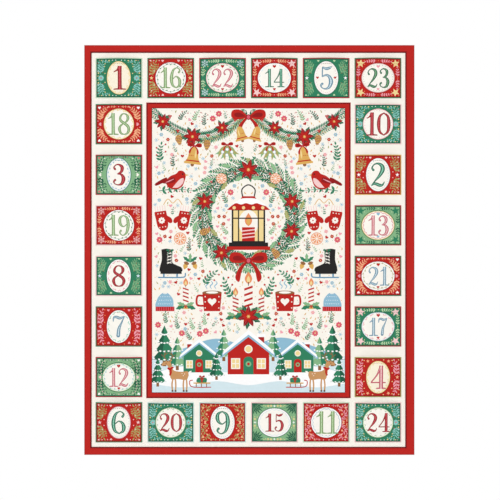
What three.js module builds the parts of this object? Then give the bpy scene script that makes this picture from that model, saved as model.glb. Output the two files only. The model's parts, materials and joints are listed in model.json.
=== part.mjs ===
// Fabric advent calendar: a quilted wall hanging with patch pockets, one for each day.
// Millimetres, +Z up, the front looks towards -Y. The origin is the middle of the
// hanging rod, which carries the whole calendar.

import * as THREE from "three";

// Cloth and wadding
const clothThickness = 0.5;
const waddingThickness = 3.5;
const plyGap = 0.1;

// Pockets
const pocketWidth = 82.9;
const pocketHeight = 71.3;
const pocketWall = 0.9;
const pocketBelly = 10.5;
const seamWidth = 3.6;
const seamThickness = 1.4;
const hemDepth = 12;
const hemStep = 0.7;
const hemExtra = 0.7;

// Layout of the printed front
const columnGap = 9.6;
const sideRowGap = 19;
const topRowGap = 11.1;
const bottomRowGap = 9.5;
const sideMargin = 7.3;
const topMargin = 9.3;
const bottomMargin = 8.1;

// Picture in the middle, quilted along its outline
const pictureSideGap = 7.65;
const pictureTopGap = 8.3;
const pictureBottomGap = 7.7;
const crownHeight = 1.5;
const crownRamp = 44;

// Binding round the edges
const bindingThickness = 1;
const borderLeft = 13.4;
const borderRight = 16.6;
const borderTop = 14.2;
const borderBottom = 14.7;
const mitreGap = 0.3;

// Hanging rod and its sleeve
const rodRadius = 6;
const rodInset = 20;
const rodChamfer = 1;
const rodSlack = 0.5;
const sleeveWall = 0.6;
const rodReach = 25;
const sleeveFlat = 14;
const sleeveTaper = 20;
const sleeveShoulder = 4;
const sleeveSeam = 6;
const sleeveToBinding = 2;

// Numbers printed on the pockets, in reading order
const topRowDays = [1, 16, 22, 14, 5, 23];
const leftColumnDays = [18, 3, 19, 8, 7, 12];
const rightColumnDays = [10, 2, 13, 21, 17, 4];
const bottomRowDays = [6, 20, 9, 15, 11, 24];

// Pockets by the colour of their ground; the others are green
const redPocketDays = [16, 14, 23, 18, 19, 7, 2, 21, 4, 6, 9, 11];
const sagePocketDays = [3, 12, 13, 15];

// Facets
const pocketColumns = 8;
const bellyRowShares = [0.25, 0.5, 0.75];
const crownRampShares = [0.3, 0.65];
const foldFacets = 6;
const sleeveFacets = 5;
const rodFacets = 24;

// Outline of the calendar, worked out from the pockets outwards
const rowLength = topRowDays.length;
const columnLength = leftColumnDays.length;
const columnPitch = pocketWidth + columnGap;
const sideRowPitch = pocketHeight + sideRowGap;
const groundWidth = 2 * sideMargin + rowLength * columnPitch - columnGap;
const calendarWidth = borderLeft + groundWidth + borderRight;
const leftEdge = -calendarWidth / 2;
const rightEdge = calendarWidth / 2;
const rodLength = calendarWidth - 2 * rodInset;
const sleeveLength = rodLength - 2 * rodReach;
const sleeveOuter = rodRadius + rodSlack + sleeveWall;
const sleeveTop = sleeveOuter + sleeveShoulder + sleeveSeam;
const topEdge = sleeveTop + sleeveToBinding + borderTop;
const topRowTop = topEdge - borderTop - topMargin;
const sideRowsTop = topRowTop - pocketHeight - topRowGap;
const sideRowsBottom = sideRowsTop - columnLength * sideRowPitch + sideRowGap;
const bottomRowTop = sideRowsBottom - bottomRowGap;
const bottomEdge = bottomRowTop - pocketHeight - bottomMargin - borderBottom;
const firstColumnLeft = leftEdge + borderLeft + sideMargin;
const lastColumnLeft = firstColumnLeft + (rowLength - 1) * columnPitch;

// Layers from the sleeve forwards; the front is at lower Y
const sleeveFront = -sleeveOuter;
const backingRear = sleeveFront - plyGap;
const backingFront = backingRear - clothThickness;
const waddingRear = backingFront - plyGap;
const waddingFront = waddingRear - waddingThickness;
const panelRear = waddingFront - plyGap;
const panelFront = panelRear - clothThickness;
const layersMiddle = (panelFront + backingRear) / 2;
const foldInner = (backingRear - panelFront) / 2 + plyGap;
const foldOuter = foldInner + bindingThickness;

const picture = {
  left: firstColumnLeft + pocketWidth + pictureSideGap,
  right: lastColumnLeft - pictureSideGap,
  top: topRowTop - pocketHeight - pictureTopGap,
  bottom: bottomRowTop + pictureBottomGap,
};

const across = new THREE.Vector3(1, 0, 0);
const backwards = new THREE.Vector3(0, 1, 0);
const upwards = new THREE.Vector3(0, 0, 1);

function cloth(color, roughness = 0.9) {
  return new THREE.MeshStandardMaterial({ color, roughness, metalness: 0 });
}

const materials = {
  creamPrint: cloth("#faf4e8"),
  wadding: cloth("#f4f1ea", 1),
  calico: cloth("#e9e0cc", 0.95),
  redBinding: cloth("#bd2821"),
  redPocket: cloth("#bd2821"),
  greenPocket: cloth("#2d7d5a"),
  sagePocket: cloth("#78aa78"),
  wood: cloth("#cfa878", 0.6),
};

function named(name, geometry, material) {
  const mesh = new THREE.Mesh(geometry, material.clone());
  mesh.name = name;
  return mesh;
}

// A closed sheet of cloth over a grid of columns (X) and rows (Z). front and rear give
// the Y of its two faces at a grid point; the four edges are walled in.
function clothBody(columns, rows, front, rear) {
  const positions = [];
  const indices = [];
  for (const face of [front, rear]) {
    rows.forEach((z, row) => {
      columns.forEach((x, column) => positions.push(x, face(column, row), z));
    });
  }
  const wide = columns.length;
  const tall = rows.length;
  const faceSize = wide * tall;
  const quad = (a, b, c, d) => indices.push(a, b, c, a, c, d);
  for (let row = 0; row < tall - 1; row += 1) {
    for (let column = 0; column < wide - 1; column += 1) {
      const a = row * wide + column;
      quad(a, a + 1, a + wide + 1, a + wide);
      quad(faceSize + a, faceSize + a + wide, faceSize + a + wide + 1, faceSize + a + 1);
    }
  }
  const side = (count, index) => Array.from({ length: count - 1 }, (_, k) => index(k));
  const rim = [
    ...side(wide, (k) => k),
    ...side(tall, (k) => (k + 1) * wide - 1),
    ...side(wide, (k) => faceSize - 1 - k),
    ...side(tall, (k) => (tall - 1 - k) * wide),
  ];
  rim.forEach((a, step) => {
    const b = rim[(step + 1) % rim.length];
    quad(b, a, a + faceSize, b + faceSize);
  });
  const geometry = new THREE.BufferGeometry();
  geometry.setAttribute("position", new THREE.Float32BufferAttribute(positions, 3));
  geometry.setIndex(indices);
  geometry.computeVertexNormals();
  return geometry;
}

// The crown of the quilted picture: nothing at its stitched outline, rising as a quarter
// sine over the ramp from each side.
function crownAt(x, z) {
  const rise = (inside) => Math.sin((Math.PI / 2) * THREE.MathUtils.clamp(inside / crownRamp, 0, 1));
  const sideways = rise(Math.min(x - picture.left, picture.right - x));
  const upright = rise(Math.min(z - picture.bottom, picture.top - z));
  return crownHeight * sideways * upright;
}

// Grid lines for a quilted layer: its edges, the picture's outline and the crown's ramp.
function quiltedLines(low, pictureLow, pictureHigh, high) {
  const rampLines = [0, ...crownRampShares, 1].map((share) => share * crownRamp);
  const rising = rampLines.map((inside) => pictureLow + inside);
  const falling = rampLines.map((inside) => pictureHigh - inside).reverse();
  return [low, ...rising, ...falling, high];
}

const layerColumns = quiltedLines(leftEdge + foldOuter, picture.left, picture.right, rightEdge - foldOuter);
const layerRows = quiltedLines(bottomEdge + foldOuter, picture.bottom, picture.top, topEdge - foldOuter);
const flatColumns = [layerColumns.at(0), layerColumns.at(-1)];
const flatRows = [layerRows.at(0), layerRows.at(-1)];

function crowned(level) {
  return (column, row) => level - crownAt(layerColumns[column], layerRows[row]);
}

function layers() {
  const group = new THREE.Group();
  const front = clothBody(layerColumns, layerRows, crowned(panelFront), crowned(panelRear));
  const wadding = clothBody(layerColumns, layerRows, crowned(waddingFront), () => waddingRear);
  const backing = clothBody(flatColumns, flatRows, () => backingFront, () => backingRear);
  group.add(named("front_panel", front, materials.creamPrint));
  group.add(named("wadding", wadding, materials.wadding));
  group.add(named("backing_cloth", backing, materials.calico));
  return group;
}

// One binding strip: a cotton fold with a front leg, a round edge and a back leg. Its ends
// are mitred towards the inner corners, whose slope follows the neighbours' widths.
function bindingStrip(legWidth, length, startNeighbour, endNeighbour) {
  const profile = new THREE.Shape();
  profile.moveTo(legWidth, -foldOuter);
  profile.lineTo(foldOuter, -foldOuter);
  profile.absarc(foldOuter, 0, foldOuter, -Math.PI / 2, Math.PI / 2, true);
  profile.lineTo(legWidth, foldOuter);
  profile.lineTo(legWidth, foldInner);
  profile.lineTo(foldOuter, foldInner);
  profile.absarc(foldOuter, 0, foldInner, Math.PI / 2, -Math.PI / 2, false);
  profile.lineTo(legWidth, -foldInner);
  profile.closePath();
  const settings = { depth: length, steps: 1, bevelEnabled: false, curveSegments: foldFacets };
  const geometry = new THREE.ExtrudeGeometry(profile, settings);
  const position = geometry.getAttribute("position");
  const startSlope = startNeighbour / legWidth;
  const endSlope = endNeighbour / legWidth;
  for (let i = 0; i < position.count; i += 1) {
    const inward = position.getX(i);
    const atEnd = position.getZ(i) > length / 2;
    const slope = atEnd ? endSlope : startSlope;
    const cut = inward * slope + (mitreGap / 2) * Math.hypot(1, slope);
    position.setZ(i, atEnd ? length / 2 - cut : cut - length / 2);
  }
  geometry.computeVertexNormals();
  return geometry;
}

function binding() {
  const group = new THREE.Group();
  const calendarHeight = topEdge - bottomEdge;
  const middleHeight = (topEdge + bottomEdge) / 2;
  const sides = [
    ["binding_left", across, upwards, borderLeft, calendarHeight, borderBottom, borderTop],
    ["binding_right", across.clone().negate(), upwards.clone().negate(), borderRight, calendarHeight,
      borderTop, borderBottom],
    ["binding_top", upwards.clone().negate(), across, borderTop, calendarWidth, borderLeft, borderRight],
    ["binding_bottom", upwards, across.clone().negate(), borderBottom, calendarWidth,
      borderRight, borderLeft],
  ];
  for (const [name, inward, along, legWidth, length, startNeighbour, endNeighbour] of sides) {
    const strip = bindingStrip(legWidth, length, startNeighbour, endNeighbour);
    strip.applyMatrix4(new THREE.Matrix4().makeBasis(inward, backwards, along));
    const mesh = named(name, strip, materials.redBinding);
    const halfSize = Math.abs(inward.x) * calendarWidth / 2 + Math.abs(inward.z) * calendarHeight / 2;
    mesh.position.set(-inward.x * halfSize, layersMiddle, middleHeight - inward.z * halfSize);
    group.add(mesh);
  }
  return group;
}

// One patch pocket, with its lower left corner at zero and its sewn seams on the panel.
// Between the seams the wall stands off the panel as half a sine across and a quarter sine
// from the bottom seam to the mouth, and the hem along the mouth is thicker.
function pocketGeometry() {
  const span = pocketWidth - 2 * seamWidth;
  const rise = pocketHeight - seamWidth;
  const steps = Array.from({ length: pocketColumns + 1 }, (_, k) => k / pocketColumns);
  const columns = [0, ...steps.map((share) => seamWidth + share * span), pocketWidth];
  const hemLine = pocketHeight - hemDepth;
  const belly = bellyRowShares.map((share) => seamWidth + share * (hemLine - seamWidth));
  const rows = [0, seamWidth, ...belly, hemLine - hemStep, hemLine, pocketHeight];
  const standOff = (x, z) => {
    const sideShare = THREE.MathUtils.clamp((x - seamWidth) / span, 0, 1);
    const heightShare = THREE.MathUtils.clamp((z - seamWidth) / rise, 0, 1);
    return Math.sin(Math.PI * sideShare) * Math.sin((Math.PI / 2) * heightShare);
  };
  const sewn = (x, z) => x <= seamWidth || x >= pocketWidth - seamWidth || z <= seamWidth;
  const front = (column, row) => {
    const share = standOff(columns[column], rows[row]);
    const hem = rows[row] >= hemLine ? hemExtra / 2 : 0;
    return -seamThickness - share * (pocketBelly - seamThickness + hem);
  };
  const rear = (column, row) => {
    if (sewn(columns[column], rows[row])) return 0;
    const hem = rows[row] >= hemLine ? hemExtra : 0;
    return Math.min(0, front(column, row) + pocketWall + hem);
  };
  return clothBody(columns, rows, front, rear);
}

function pocketMaterial(day) {
  if (redPocketDays.includes(day)) return materials.redPocket;
  if (sagePocketDays.includes(day)) return materials.sagePocket;
  return materials.greenPocket;
}

function pocketPlaces() {
  const places = [];
  topRowDays.forEach((day, k) => places.push([day, firstColumnLeft + k * columnPitch, topRowTop]));
  leftColumnDays.forEach((day, k) => places.push([day, firstColumnLeft, sideRowsTop - k * sideRowPitch]));
  rightColumnDays.forEach((day, k) => places.push([day, lastColumnLeft, sideRowsTop - k * sideRowPitch]));
  bottomRowDays.forEach((day, k) => places.push([day, firstColumnLeft + k * columnPitch, bottomRowTop]));
  return places;
}

function pockets() {
  const group = new THREE.Group();
  const geometry = pocketGeometry();
  for (const [day, left, top] of pocketPlaces()) {
    const name = `pocket_${String(day).padStart(2, "0")}`;
    const mesh = named(name, geometry.clone(), pocketMaterial(day));
    mesh.position.set(left, panelFront - plyGap, top - pocketHeight);
    group.add(mesh);
  }
  return group;
}

// The sleeve's section in Y and Z, with the rod's axis at zero. The rear ply leaves the top
// seam, wraps over the rod, falls straight and tapers back to the bottom seam.
function sleeveSide(path, inset) {
  const reach = sleeveOuter - inset;
  const seamFace = sleeveFront + 2 * sleeveWall - inset;
  path.lineTo(seamFace, -sleeveFlat - sleeveTaper);
  path.quadraticCurveTo(reach, -sleeveFlat - sleeveTaper / 2, reach, -sleeveFlat);
  path.lineTo(reach, 0);
  path.absarc(0, 0, reach, 0, Math.PI / 2, false);
  path.quadraticCurveTo(seamFace / 2, reach, seamFace, sleeveOuter + sleeveShoulder);
}

function sleeveGeometry() {
  const outline = new THREE.Shape();
  const bottom = -sleeveFlat - sleeveTaper - sleeveSeam;
  outline.moveTo(sleeveFront, bottom);
  outline.lineTo(sleeveFront + 2 * sleeveWall, bottom);
  sleeveSide(outline, 0);
  outline.lineTo(sleeveFront + 2 * sleeveWall, sleeveTop);
  outline.lineTo(sleeveFront, sleeveTop);
  outline.closePath();
  const hollow = new THREE.Path();
  hollow.moveTo(sleeveFront + sleeveWall, -sleeveFlat - sleeveTaper);
  sleeveSide(hollow, sleeveWall);
  hollow.closePath();
  outline.holes.push(hollow);
  const settings = { depth: sleeveLength, steps: 1, bevelEnabled: false, curveSegments: sleeveFacets };
  const geometry = new THREE.ExtrudeGeometry(outline, settings);
  geometry.translate(0, 0, -sleeveLength / 2);
  return geometry.applyMatrix4(new THREE.Matrix4().makeBasis(backwards, upwards, across));
}

function rodGeometry() {
  const end = rodLength / 2;
  const profile = [
    new THREE.Vector2(0, -end),
    new THREE.Vector2(rodRadius - rodChamfer, -end),
    new THREE.Vector2(rodRadius, rodChamfer - end),
    new THREE.Vector2(rodRadius, end - rodChamfer),
    new THREE.Vector2(rodRadius - rodChamfer, end),
    new THREE.Vector2(0, end),
  ];
  return new THREE.LatheGeometry(profile, rodFacets);
}

function hanging() {
  const group = new THREE.Group();
  group.add(named("hanging_sleeve", sleeveGeometry(), materials.calico));
  const rod = named("hanging_rod", rodGeometry(), materials.wood);
  rod.rotation.z = -Math.PI / 2;
  group.add(rod);
  return group;
}

const calendar = new THREE.Group();
calendar.add(layers(), binding(), pockets(), hanging());

export default calendar;
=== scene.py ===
"""A fabric advent calendar: a printed cotton panel on wadding and calico, bound in red, with
twenty-four numbered patch pockets and a wooden rod in a sleeve behind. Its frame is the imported
model: Z up, the front faces -Y, and the middle of the rod is the origin. Surfaces are worked
out in millimetres and turned into metres when a mesh is made."""
import json
import math

import bpy
import numpy as np
from mathutils.geometry import delaunay_2d_cdt
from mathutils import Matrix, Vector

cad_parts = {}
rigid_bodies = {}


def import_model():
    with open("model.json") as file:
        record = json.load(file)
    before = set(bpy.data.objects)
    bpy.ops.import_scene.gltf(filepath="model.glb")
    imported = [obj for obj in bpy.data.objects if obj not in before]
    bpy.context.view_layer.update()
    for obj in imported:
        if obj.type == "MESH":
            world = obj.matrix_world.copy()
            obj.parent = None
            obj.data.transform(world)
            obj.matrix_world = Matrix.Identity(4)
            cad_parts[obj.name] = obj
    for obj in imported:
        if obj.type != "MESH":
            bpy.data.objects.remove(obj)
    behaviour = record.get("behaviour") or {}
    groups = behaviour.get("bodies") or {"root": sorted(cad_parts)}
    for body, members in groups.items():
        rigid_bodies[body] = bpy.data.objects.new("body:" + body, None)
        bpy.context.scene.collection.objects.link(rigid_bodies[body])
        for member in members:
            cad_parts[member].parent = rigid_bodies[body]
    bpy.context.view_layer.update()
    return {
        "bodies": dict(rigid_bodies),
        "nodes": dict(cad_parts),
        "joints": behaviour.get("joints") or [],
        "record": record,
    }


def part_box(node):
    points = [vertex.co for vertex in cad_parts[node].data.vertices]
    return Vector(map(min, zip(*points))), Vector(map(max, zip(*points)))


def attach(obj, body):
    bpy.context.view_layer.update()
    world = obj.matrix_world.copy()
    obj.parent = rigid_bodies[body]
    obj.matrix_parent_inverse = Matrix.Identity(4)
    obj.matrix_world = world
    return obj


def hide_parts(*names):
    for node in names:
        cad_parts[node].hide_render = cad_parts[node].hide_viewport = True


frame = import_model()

MM = 0.001
ROUND = 2 * math.pi


def node_box(node):
    """Lowest and highest corner of a node of the model, in millimetres."""
    return [np.array(corner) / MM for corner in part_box(node)]


# Each ink and its colour as a screen shows it
words = """
cream fbf6ec ivory fdf9f0 white ffffff black 1d1b1b red bb1f18 deep_red 8f1214 brick a81d1c rose dc5d6e
pink f0a3af blush f7cfcd green 2e7f5c deep_green 1c5b43 sage 85b586 pale_green bfdcae mint 8fd0b4 teal 8ccac2
olive a9a765 gold dfae5c pale_gold f3d998 amber e98f5c peach f6b389 calico e9e0cc lining f6efe4
pale_mint cde4c8 pale_teal cde6df pale_pink f4cfce crimson b52f3b wine 720c10 custard fcf3dc garnet 931f22
coral d0545c dusty_rose c2596b fir 2a6850 moss 7f9c66 dusk 6a90a6 blue 8fbcd3 slate 5f92b2 pale_blue d5e8ee
brown 8f5f3b tan c99562""".split()
INKS = dict(zip(words[::2], words[1::2]))


# Outlines, each an array of points


def ellipse(wide, high=None, points=16):
    """Points at even angles round an ellipse of half width wide and half height high."""
    angle = np.arange(points) * (ROUND / points)
    return np.stack([wide * np.cos(angle), (wide if high is None else high) * np.sin(angle)], 1)


def box(left, low, right, high):
    """The four corners of an upright rectangle."""
    return np.array([(left, low), (right, low), (right, high), (left, high)], float)


def star(tips, outer, inner):
    """Points at even angles whose radius swaps between outer and inner."""
    turn = np.arange(2 * tips)
    angle = math.pi / 2 + turn * (math.pi / tips)
    radius = np.where(turn % 2, inner, outer)
    return np.stack([radius * np.cos(angle), radius * np.sin(angle)], 1)


def leaf(length, width, bend=0.0, points=5, fullness=0.85):
    """A leaf from zero to (0, length): its half width is a sine of the way along, raised to
    fullness, and its middle line is a parabola that leans sideways by bend."""
    way = np.linspace(0, 1, points + 2)
    half = width / 2 * np.sin(math.pi * way ** fullness)
    middle = bend * 4 * way * (1 - way)
    right = np.stack([middle + half, way * length], 1)
    left = np.stack([middle - half, way * length], 1)[-2:0:-1]
    return np.concatenate([right, left])


def heart(size, points=18):
    """The classic heart of sines and cosines, size wide, its middle at zero."""
    t = np.arange(points) * (ROUND / points) + math.pi / points
    x = 16 * np.sin(t) ** 3
    z = 13 * np.cos(t) - 5 * np.cos(2 * t) - 2 * np.cos(3 * t) - np.cos(4 * t)
    return np.stack([x, z + 2.5], 1) * (size / 32)


def holly(length, width, spikes=3, steps=3):
    """A holly leaf: along each side arcs run inwards between spikes."""
    way = np.linspace(0, 1, spikes * steps + 1)
    swell = np.sin(math.pi * (0.08 + 0.84 * way)) * width / 2
    half = swell * (1 - 0.42 * np.sin(math.pi * ((way * spikes) % 1)))
    half[0] = width * 0.08
    half[-1] = 0
    right = np.stack([half, way * length], 1)
    return np.concatenate([right, (right * (-1, 1))[-2::-1]])


def smooth(path, steps=6):
    """A curve through the path's points: between each two, Catmull and Rom's cubic."""
    p = np.asarray(path, float)
    p = np.concatenate([2 * p[:1] - p[1:2], p, 2 * p[-1:] - p[-2:-1]])
    t = (np.arange(steps) / steps)[:, None, None]
    a, b, c, d = p[:-3], p[1:-2], p[2:-1], p[3:]
    run = 0.5 * (2 * b + (c - a) * t + (2 * a - 5 * b + 4 * c - d) * t**2 + (3 * b - a - 3 * c + d) * t**3)
    return np.concatenate([run.transpose(1, 0, 2).reshape(-1, p.shape[1]), p[-2:-1]])


def turned(points, angle):
    """Points turned about zero by angle."""
    c, s = math.cos(angle), math.sin(angle)
    return np.asarray(points, float) @ np.array([[c, s], [-s, c]])


def heading(start, end):
    """The turn that points a leaf from start to end."""
    return math.atan2(start[0] - end[0], end[1] - start[1])


class Print:
    """A flat print: outlines and their inks, in the order in which they are laid down."""

    def __init__(self, outline, ink):
        self.outlines = []
        self.inks = []
        self.lay(outline, ink)

    def lay(self, outline, ink):
        """Adds an outline, turned to run anticlockwise."""
        following = np.roll(outline, -1, 0)
        area = np.sum(outline[:, 0] * following[:, 1] - following[:, 0] * outline[:, 1])
        self.outlines.append(outline if area > 0 else outline[::-1])
        self.inks.append(ink)


class Pen:
    """Draws on a print in units of its own: a size, a turn, a mirror and a place."""

    def __init__(self, sheet, frame=None, place=(0.0, 0.0)):
        self.sheet = sheet
        self.frame = np.eye(2) if frame is None else frame
        self.place = np.asarray(place, float)

    def at(self, place=(0, 0), size=1.0, turn=0.0, flip=(1, 1)):
        """A pen moved within this one's units. flip mirrors it across or up where it has a -1."""
        frame = np.diag(flip) @ turned(np.eye(2), turn) * size @ self.frame
        return Pen(self.sheet, frame, np.asarray(place, float) @ self.frame + self.place)

    def lay(self, outline, ink, place=(0, 0), turn=0.0):
        """Lays an outline down at a place, turned."""
        self.sheet.lay((turned(outline, turn) + place) @ self.frame + self.place, ink)

    def stroke(self, path, widths, ink, steps=6, round_ends=True):
        """A line along a smooth path whose width goes smoothly through the widths, laid as
        four-sided steps, with round ends. A step's corners go round its middle in turn, so
        that it never crosses itself."""
        run = smooth(path, steps)
        given = np.broadcast_to(np.asarray(widths, float), (len(path),))[:, None]
        half = np.maximum(smooth(given, steps), 1e-3) / 2
        ahead = np.gradient(run, axis=0)
        ahead /= np.maximum(np.linalg.norm(ahead, axis=1, keepdims=True), 1e-9)
        side = np.stack([-ahead[:, 1], ahead[:, 0]], 1) * half
        left, right = run + side, run - side
        for k in range(len(run) - 1):
            step = np.stack([right[k], right[k + 1], left[k + 1], left[k]])
            away = step - step.mean(0)
            self.lay(step[np.argsort(np.arctan2(away[:, 1], away[:, 0]))], ink)
        for k in (0, -1) if round_ends else ():
            self.lay(ellipse(half[k, 0], points=10), ink, run[k])

    def dots(self, places, radius, ink, points=8):
        """Round dots at places."""
        for place in places:
            self.lay(ellipse(radius, points=points), ink, place)

    def draw(self, table, inks=()):
        """Lays down the parts of a table, one to a line: a kind, its inks and its numbers.
        ink, accent and spot stand for the inks given. A kind and *5 is drawn five times
        round zero. The numbers of a kind that isn't in LAID are its size, place, turn and
        hand, and a motif's own units are hundredths of its size."""
        given = dict(zip(("ink", "accent", "spot"), inks))
        for line in table.strip().splitlines():
            kind, own, *numbers = line.split()
            kind, _, count = kind.partition("*")
            own = [given.get(ink, ink) for ink in own.split(",")]
            n = [float(number) for number in numbers]
            count = int(count or 1)
            for k in range(count):
                one = self.at(turn=k * ROUND / count)
                if kind in LAID:
                    LAID[kind](one, own, n)
                    continue
                size, x, z, turn, hand = n + [0, 0, 0, 1][len(n) - 1:]
                one = one.at((x, z), size, turn, (hand, 1))
                if kind in MOTIFS:
                    one.at(size=0.01).draw(MOTIFS[kind], own)
                else:
                    FORMS[kind](one, *own)


def in_pairs(numbers):
    """Numbers as points, two to a point."""
    return np.array(numbers, float).reshape(-1, 2)


def with_widths(numbers):
    """Numbers as points and widths, three to a point."""
    rows = np.array(numbers, float).reshape(-1, 3)
    return rows[:, :2], rows[:, 2]


def bough(pen, inks, points, length, width, pairs, stem, lean, *path):
    """A smooth stem with leaves in pairs that shrink towards its tip, and with a berry by
    each leaf where there is a second ink."""
    path, points = in_pairs(path), int(points)
    run = smooth(path, 8)
    along = np.concatenate([[0], np.cumsum(np.linalg.norm(np.diff(run, axis=0), axis=1))])
    pen.stroke(path, [stem] * (len(path) - 1) + [stem * 0.4], inks[0], 5, False)
    for k in range(int(pairs)):
        way = (k + 0.6) / (pairs + 0.4) * along[-1]
        spot, beyond = [np.array([np.interp(reach, along, run[:, axis]) for axis in (0, 1)])
                        for reach in (way, min(way + 1e-3 * along[-1], along[-1]))]
        turn = heading(spot, beyond)
        size = 1 - 0.45 * way / along[-1]
        for hand in (1, -1):
            pen.lay(leaf(length * size, width * size, points=points), inks[0], spot, turn + hand * lean)
            if len(inks) > 1:
                side = turned([(0, length * size * 1.12)], turn + hand * (lean - 0.45))[0]
                pen.dots([spot + side], width * 0.26, inks[1], 6)
    pen.lay(leaf(length * 0.75, width * 0.75, points=points), inks[0], run[-1], heading(run[-4], run[-1]))


def needles(pen, inks, length, step, lean, thick, *path):
    """A fir bough: thin leaves lean out on both sides of a smooth stem, in inks that take
    turns, longest a third of the way along."""
    path = in_pairs(path)
    run = smooth(path, 12)
    along = np.concatenate([[0], np.cumsum(np.linalg.norm(np.diff(run, axis=0), axis=1))])
    count = max(int(along[-1] / step), 3)
    pen.stroke(path, 0.9, "brown", 6, False)
    for k in range(count + 1):
        way = k / count
        spot, beyond = [np.array([np.interp(way * along[-1] + more, along, run[:, axis]) for axis in (0, 1)])
                        for more in (-0.5, 0.5)]
        turn = heading(spot, beyond)
        size = length * (0.55 + 0.45 * math.sin(math.pi * min(way * 1.2 + 0.1, 1)))
        for hand in (1, -1):
            pen.lay(leaf(size, thick, points=1), inks[(k + (hand > 0)) % len(inks)], spot, turn + hand * lean)
    pen.lay(leaf(length * 0.8, thick, points=1), inks[0], run[-1], heading(run[-3], run[-1]))


def rest(n, start):
    """The place and the turn after a part's first numbers, or zeros."""
    x, z, turn = n[start:] + [0, 0, 0][len(n) - start:]
    return (x, z), turn


# The kinds of part and their numbers: box, left, low, right and high; poly, its points; blob, steps
# between its points on a smooth closed line; line and rope, steps, width and points, with square
# and round ends; brush, steps, 1 for round ends, and points each with its width; dots, corners,
# radius and places; oval, corners, half width, half height and place; leaf, points a side,
# fullness, bend, length, width, place and turn; holly, length, width, place and turn; star,
# tips, outer and inner radius, place and turn; heart, size, place and turn
LAID = {
    "box": lambda pen, inks, n: pen.lay(box(*n), inks[0]),
    "poly": lambda pen, inks, n: pen.lay(in_pairs(n), inks[0]),
    "blob": lambda pen, inks, n: pen.lay(smooth(in_pairs(n[1:] + n[1:3]), int(n[0]))[:-1], inks[0]),
    "line": lambda pen, inks, n: pen.stroke(in_pairs(n[2:]), n[1], inks[0], int(n[0]), False),
    "rope": lambda pen, inks, n: pen.stroke(in_pairs(n[2:]), n[1], inks[0], int(n[0])),
    "brush": lambda pen, inks, n: pen.stroke(*with_widths(n[2:]), inks[0], int(n[0]), n[1] > 0),
    "dots": lambda pen, inks, n: pen.dots(in_pairs(n[2:]), n[1], inks[0], int(n[0])),
    "oval": lambda pen, inks, n: pen.lay(ellipse(n[1], n[2], int(n[0])), inks[0], n[3:] or (0, 0)),
    "leaf": lambda pen, inks, n: pen.lay(leaf(n[3], n[4], n[2], int(n[0]), n[1]), inks[0], *rest(n, 5)),
    "holly": lambda pen, inks, n: pen.lay(holly(n[0], n[1]), inks[0], *rest(n, 2)),
    "star": lambda pen, inks, n: pen.lay(star(int(n[0]), n[1], n[2]), inks[0], *rest(n, 3)),
    "heart": lambda pen, inks, n: pen.lay(heart(n[0]), inks[0], *rest(n, 1)),
    "bough": lambda pen, inks, n: bough(pen, inks, *n),
    "needles": lambda pen, inks, n: needles(pen, inks, *n),
}


# Numerals: each digit's width, then its strokes, a line each, as points across and up with the
# stroke's width there, in hundredths of the height, thick down the stems
NUMERALS = {
    "0": (62, """
31 98.5 4.5, 12 83 11, 7 50 16, 12 17 11, 31 1.5 4.5
31 1.5 4.5, 50 17 11, 55 50 16, 50 83 11, 31 98.5 4.5"""),
    "1": (50, """
29 0 16, 29 50 15, 29 100 16
26 93 11, 19 83 7, 6 75 3.5
5 2.2 4.5, 29 3.5 6, 53 2.2 4.5"""),
    "2": (62, """
12 70 10, 7 79 6, 15 93 5, 31 97.5 8, 47 88 15, 50 70 17, 38 46 12, 20 24 6, 6 5 4.5
6 5 4.5, 20 11.5 11, 38 5 13, 50 6 8, 58 19 3"""),
    "3": (58, """
13 76 10, 8 85 6, 18 96 5, 32 97 8, 45 85 15, 42 65 12, 26 54 4.5
24 54 4.5, 42 50 10, 51 31 17, 44 9 13, 28 2 6, 12 7 4.5, 7 17 7, 13 25 10"""),
    "4": (62, """
41 94 10, 26 60 6, 4 30 5
3 27 4.5, 30 27.5 5, 60 27 4.5
43 0 15, 43 50 15, 43 100 15
24 2.2 4.5, 43 3.5 6, 62 2.2 4.5"""),
    "5": (58, """
15 97 5, 28 90 11, 42 93 11, 53 100 3
14 95 5, 13 75 4.5, 13 56 4.5
13 55 4.5, 27 62 8, 42 56 12, 50 35 17, 43 11 13, 27 2 6, 12 7 4.5, 7 17 7, 13 24 10"""),
    "6": (60, """
46 76 10, 51 85 7, 44 95 5, 32 97.5 5, 16 84 11, 8 50 16, 13 16 12, 31 2 4.5
31 2 4.5, 47 12 11, 51 30 15, 45 48 11, 30 56 5, 13 42 4"""),
    "7": (58, """
5 74 3.5, 8 92 8, 20 94 12, 36 89 12, 55 97 4.5
55 96 4, 42 66 7, 31 40 13, 27 6 16"""),
    "8": (60, """
30 54 12, 14 65 12, 11 79 10, 19 93 7, 30 97.5 4.5
30 97.5 4.5, 42 93 8, 49 79 13, 44 64 9, 30 54 5
30 54 5, 12 41 9, 7 25 13, 15 7 9, 30 2 4.5
30 2 4.5, 45 7 9, 53 25 13, 47 41 13, 30 54 12"""),
}


def digit_strokes(digit):
    """A digit's width and its strokes as paths and widths. A nine is a six turned by half."""
    if digit == "9":
        wide, strokes = digit_strokes("6")
        return wide, [((wide, 100) - path, widths) for path, widths in strokes]
    wide, text = NUMERALS[digit]
    rows = [with_widths(row.replace(",", " ").split()) for row in text.strip().splitlines()]
    return wide, [(path, widths * 1.05) for path, widths in rows]


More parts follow.
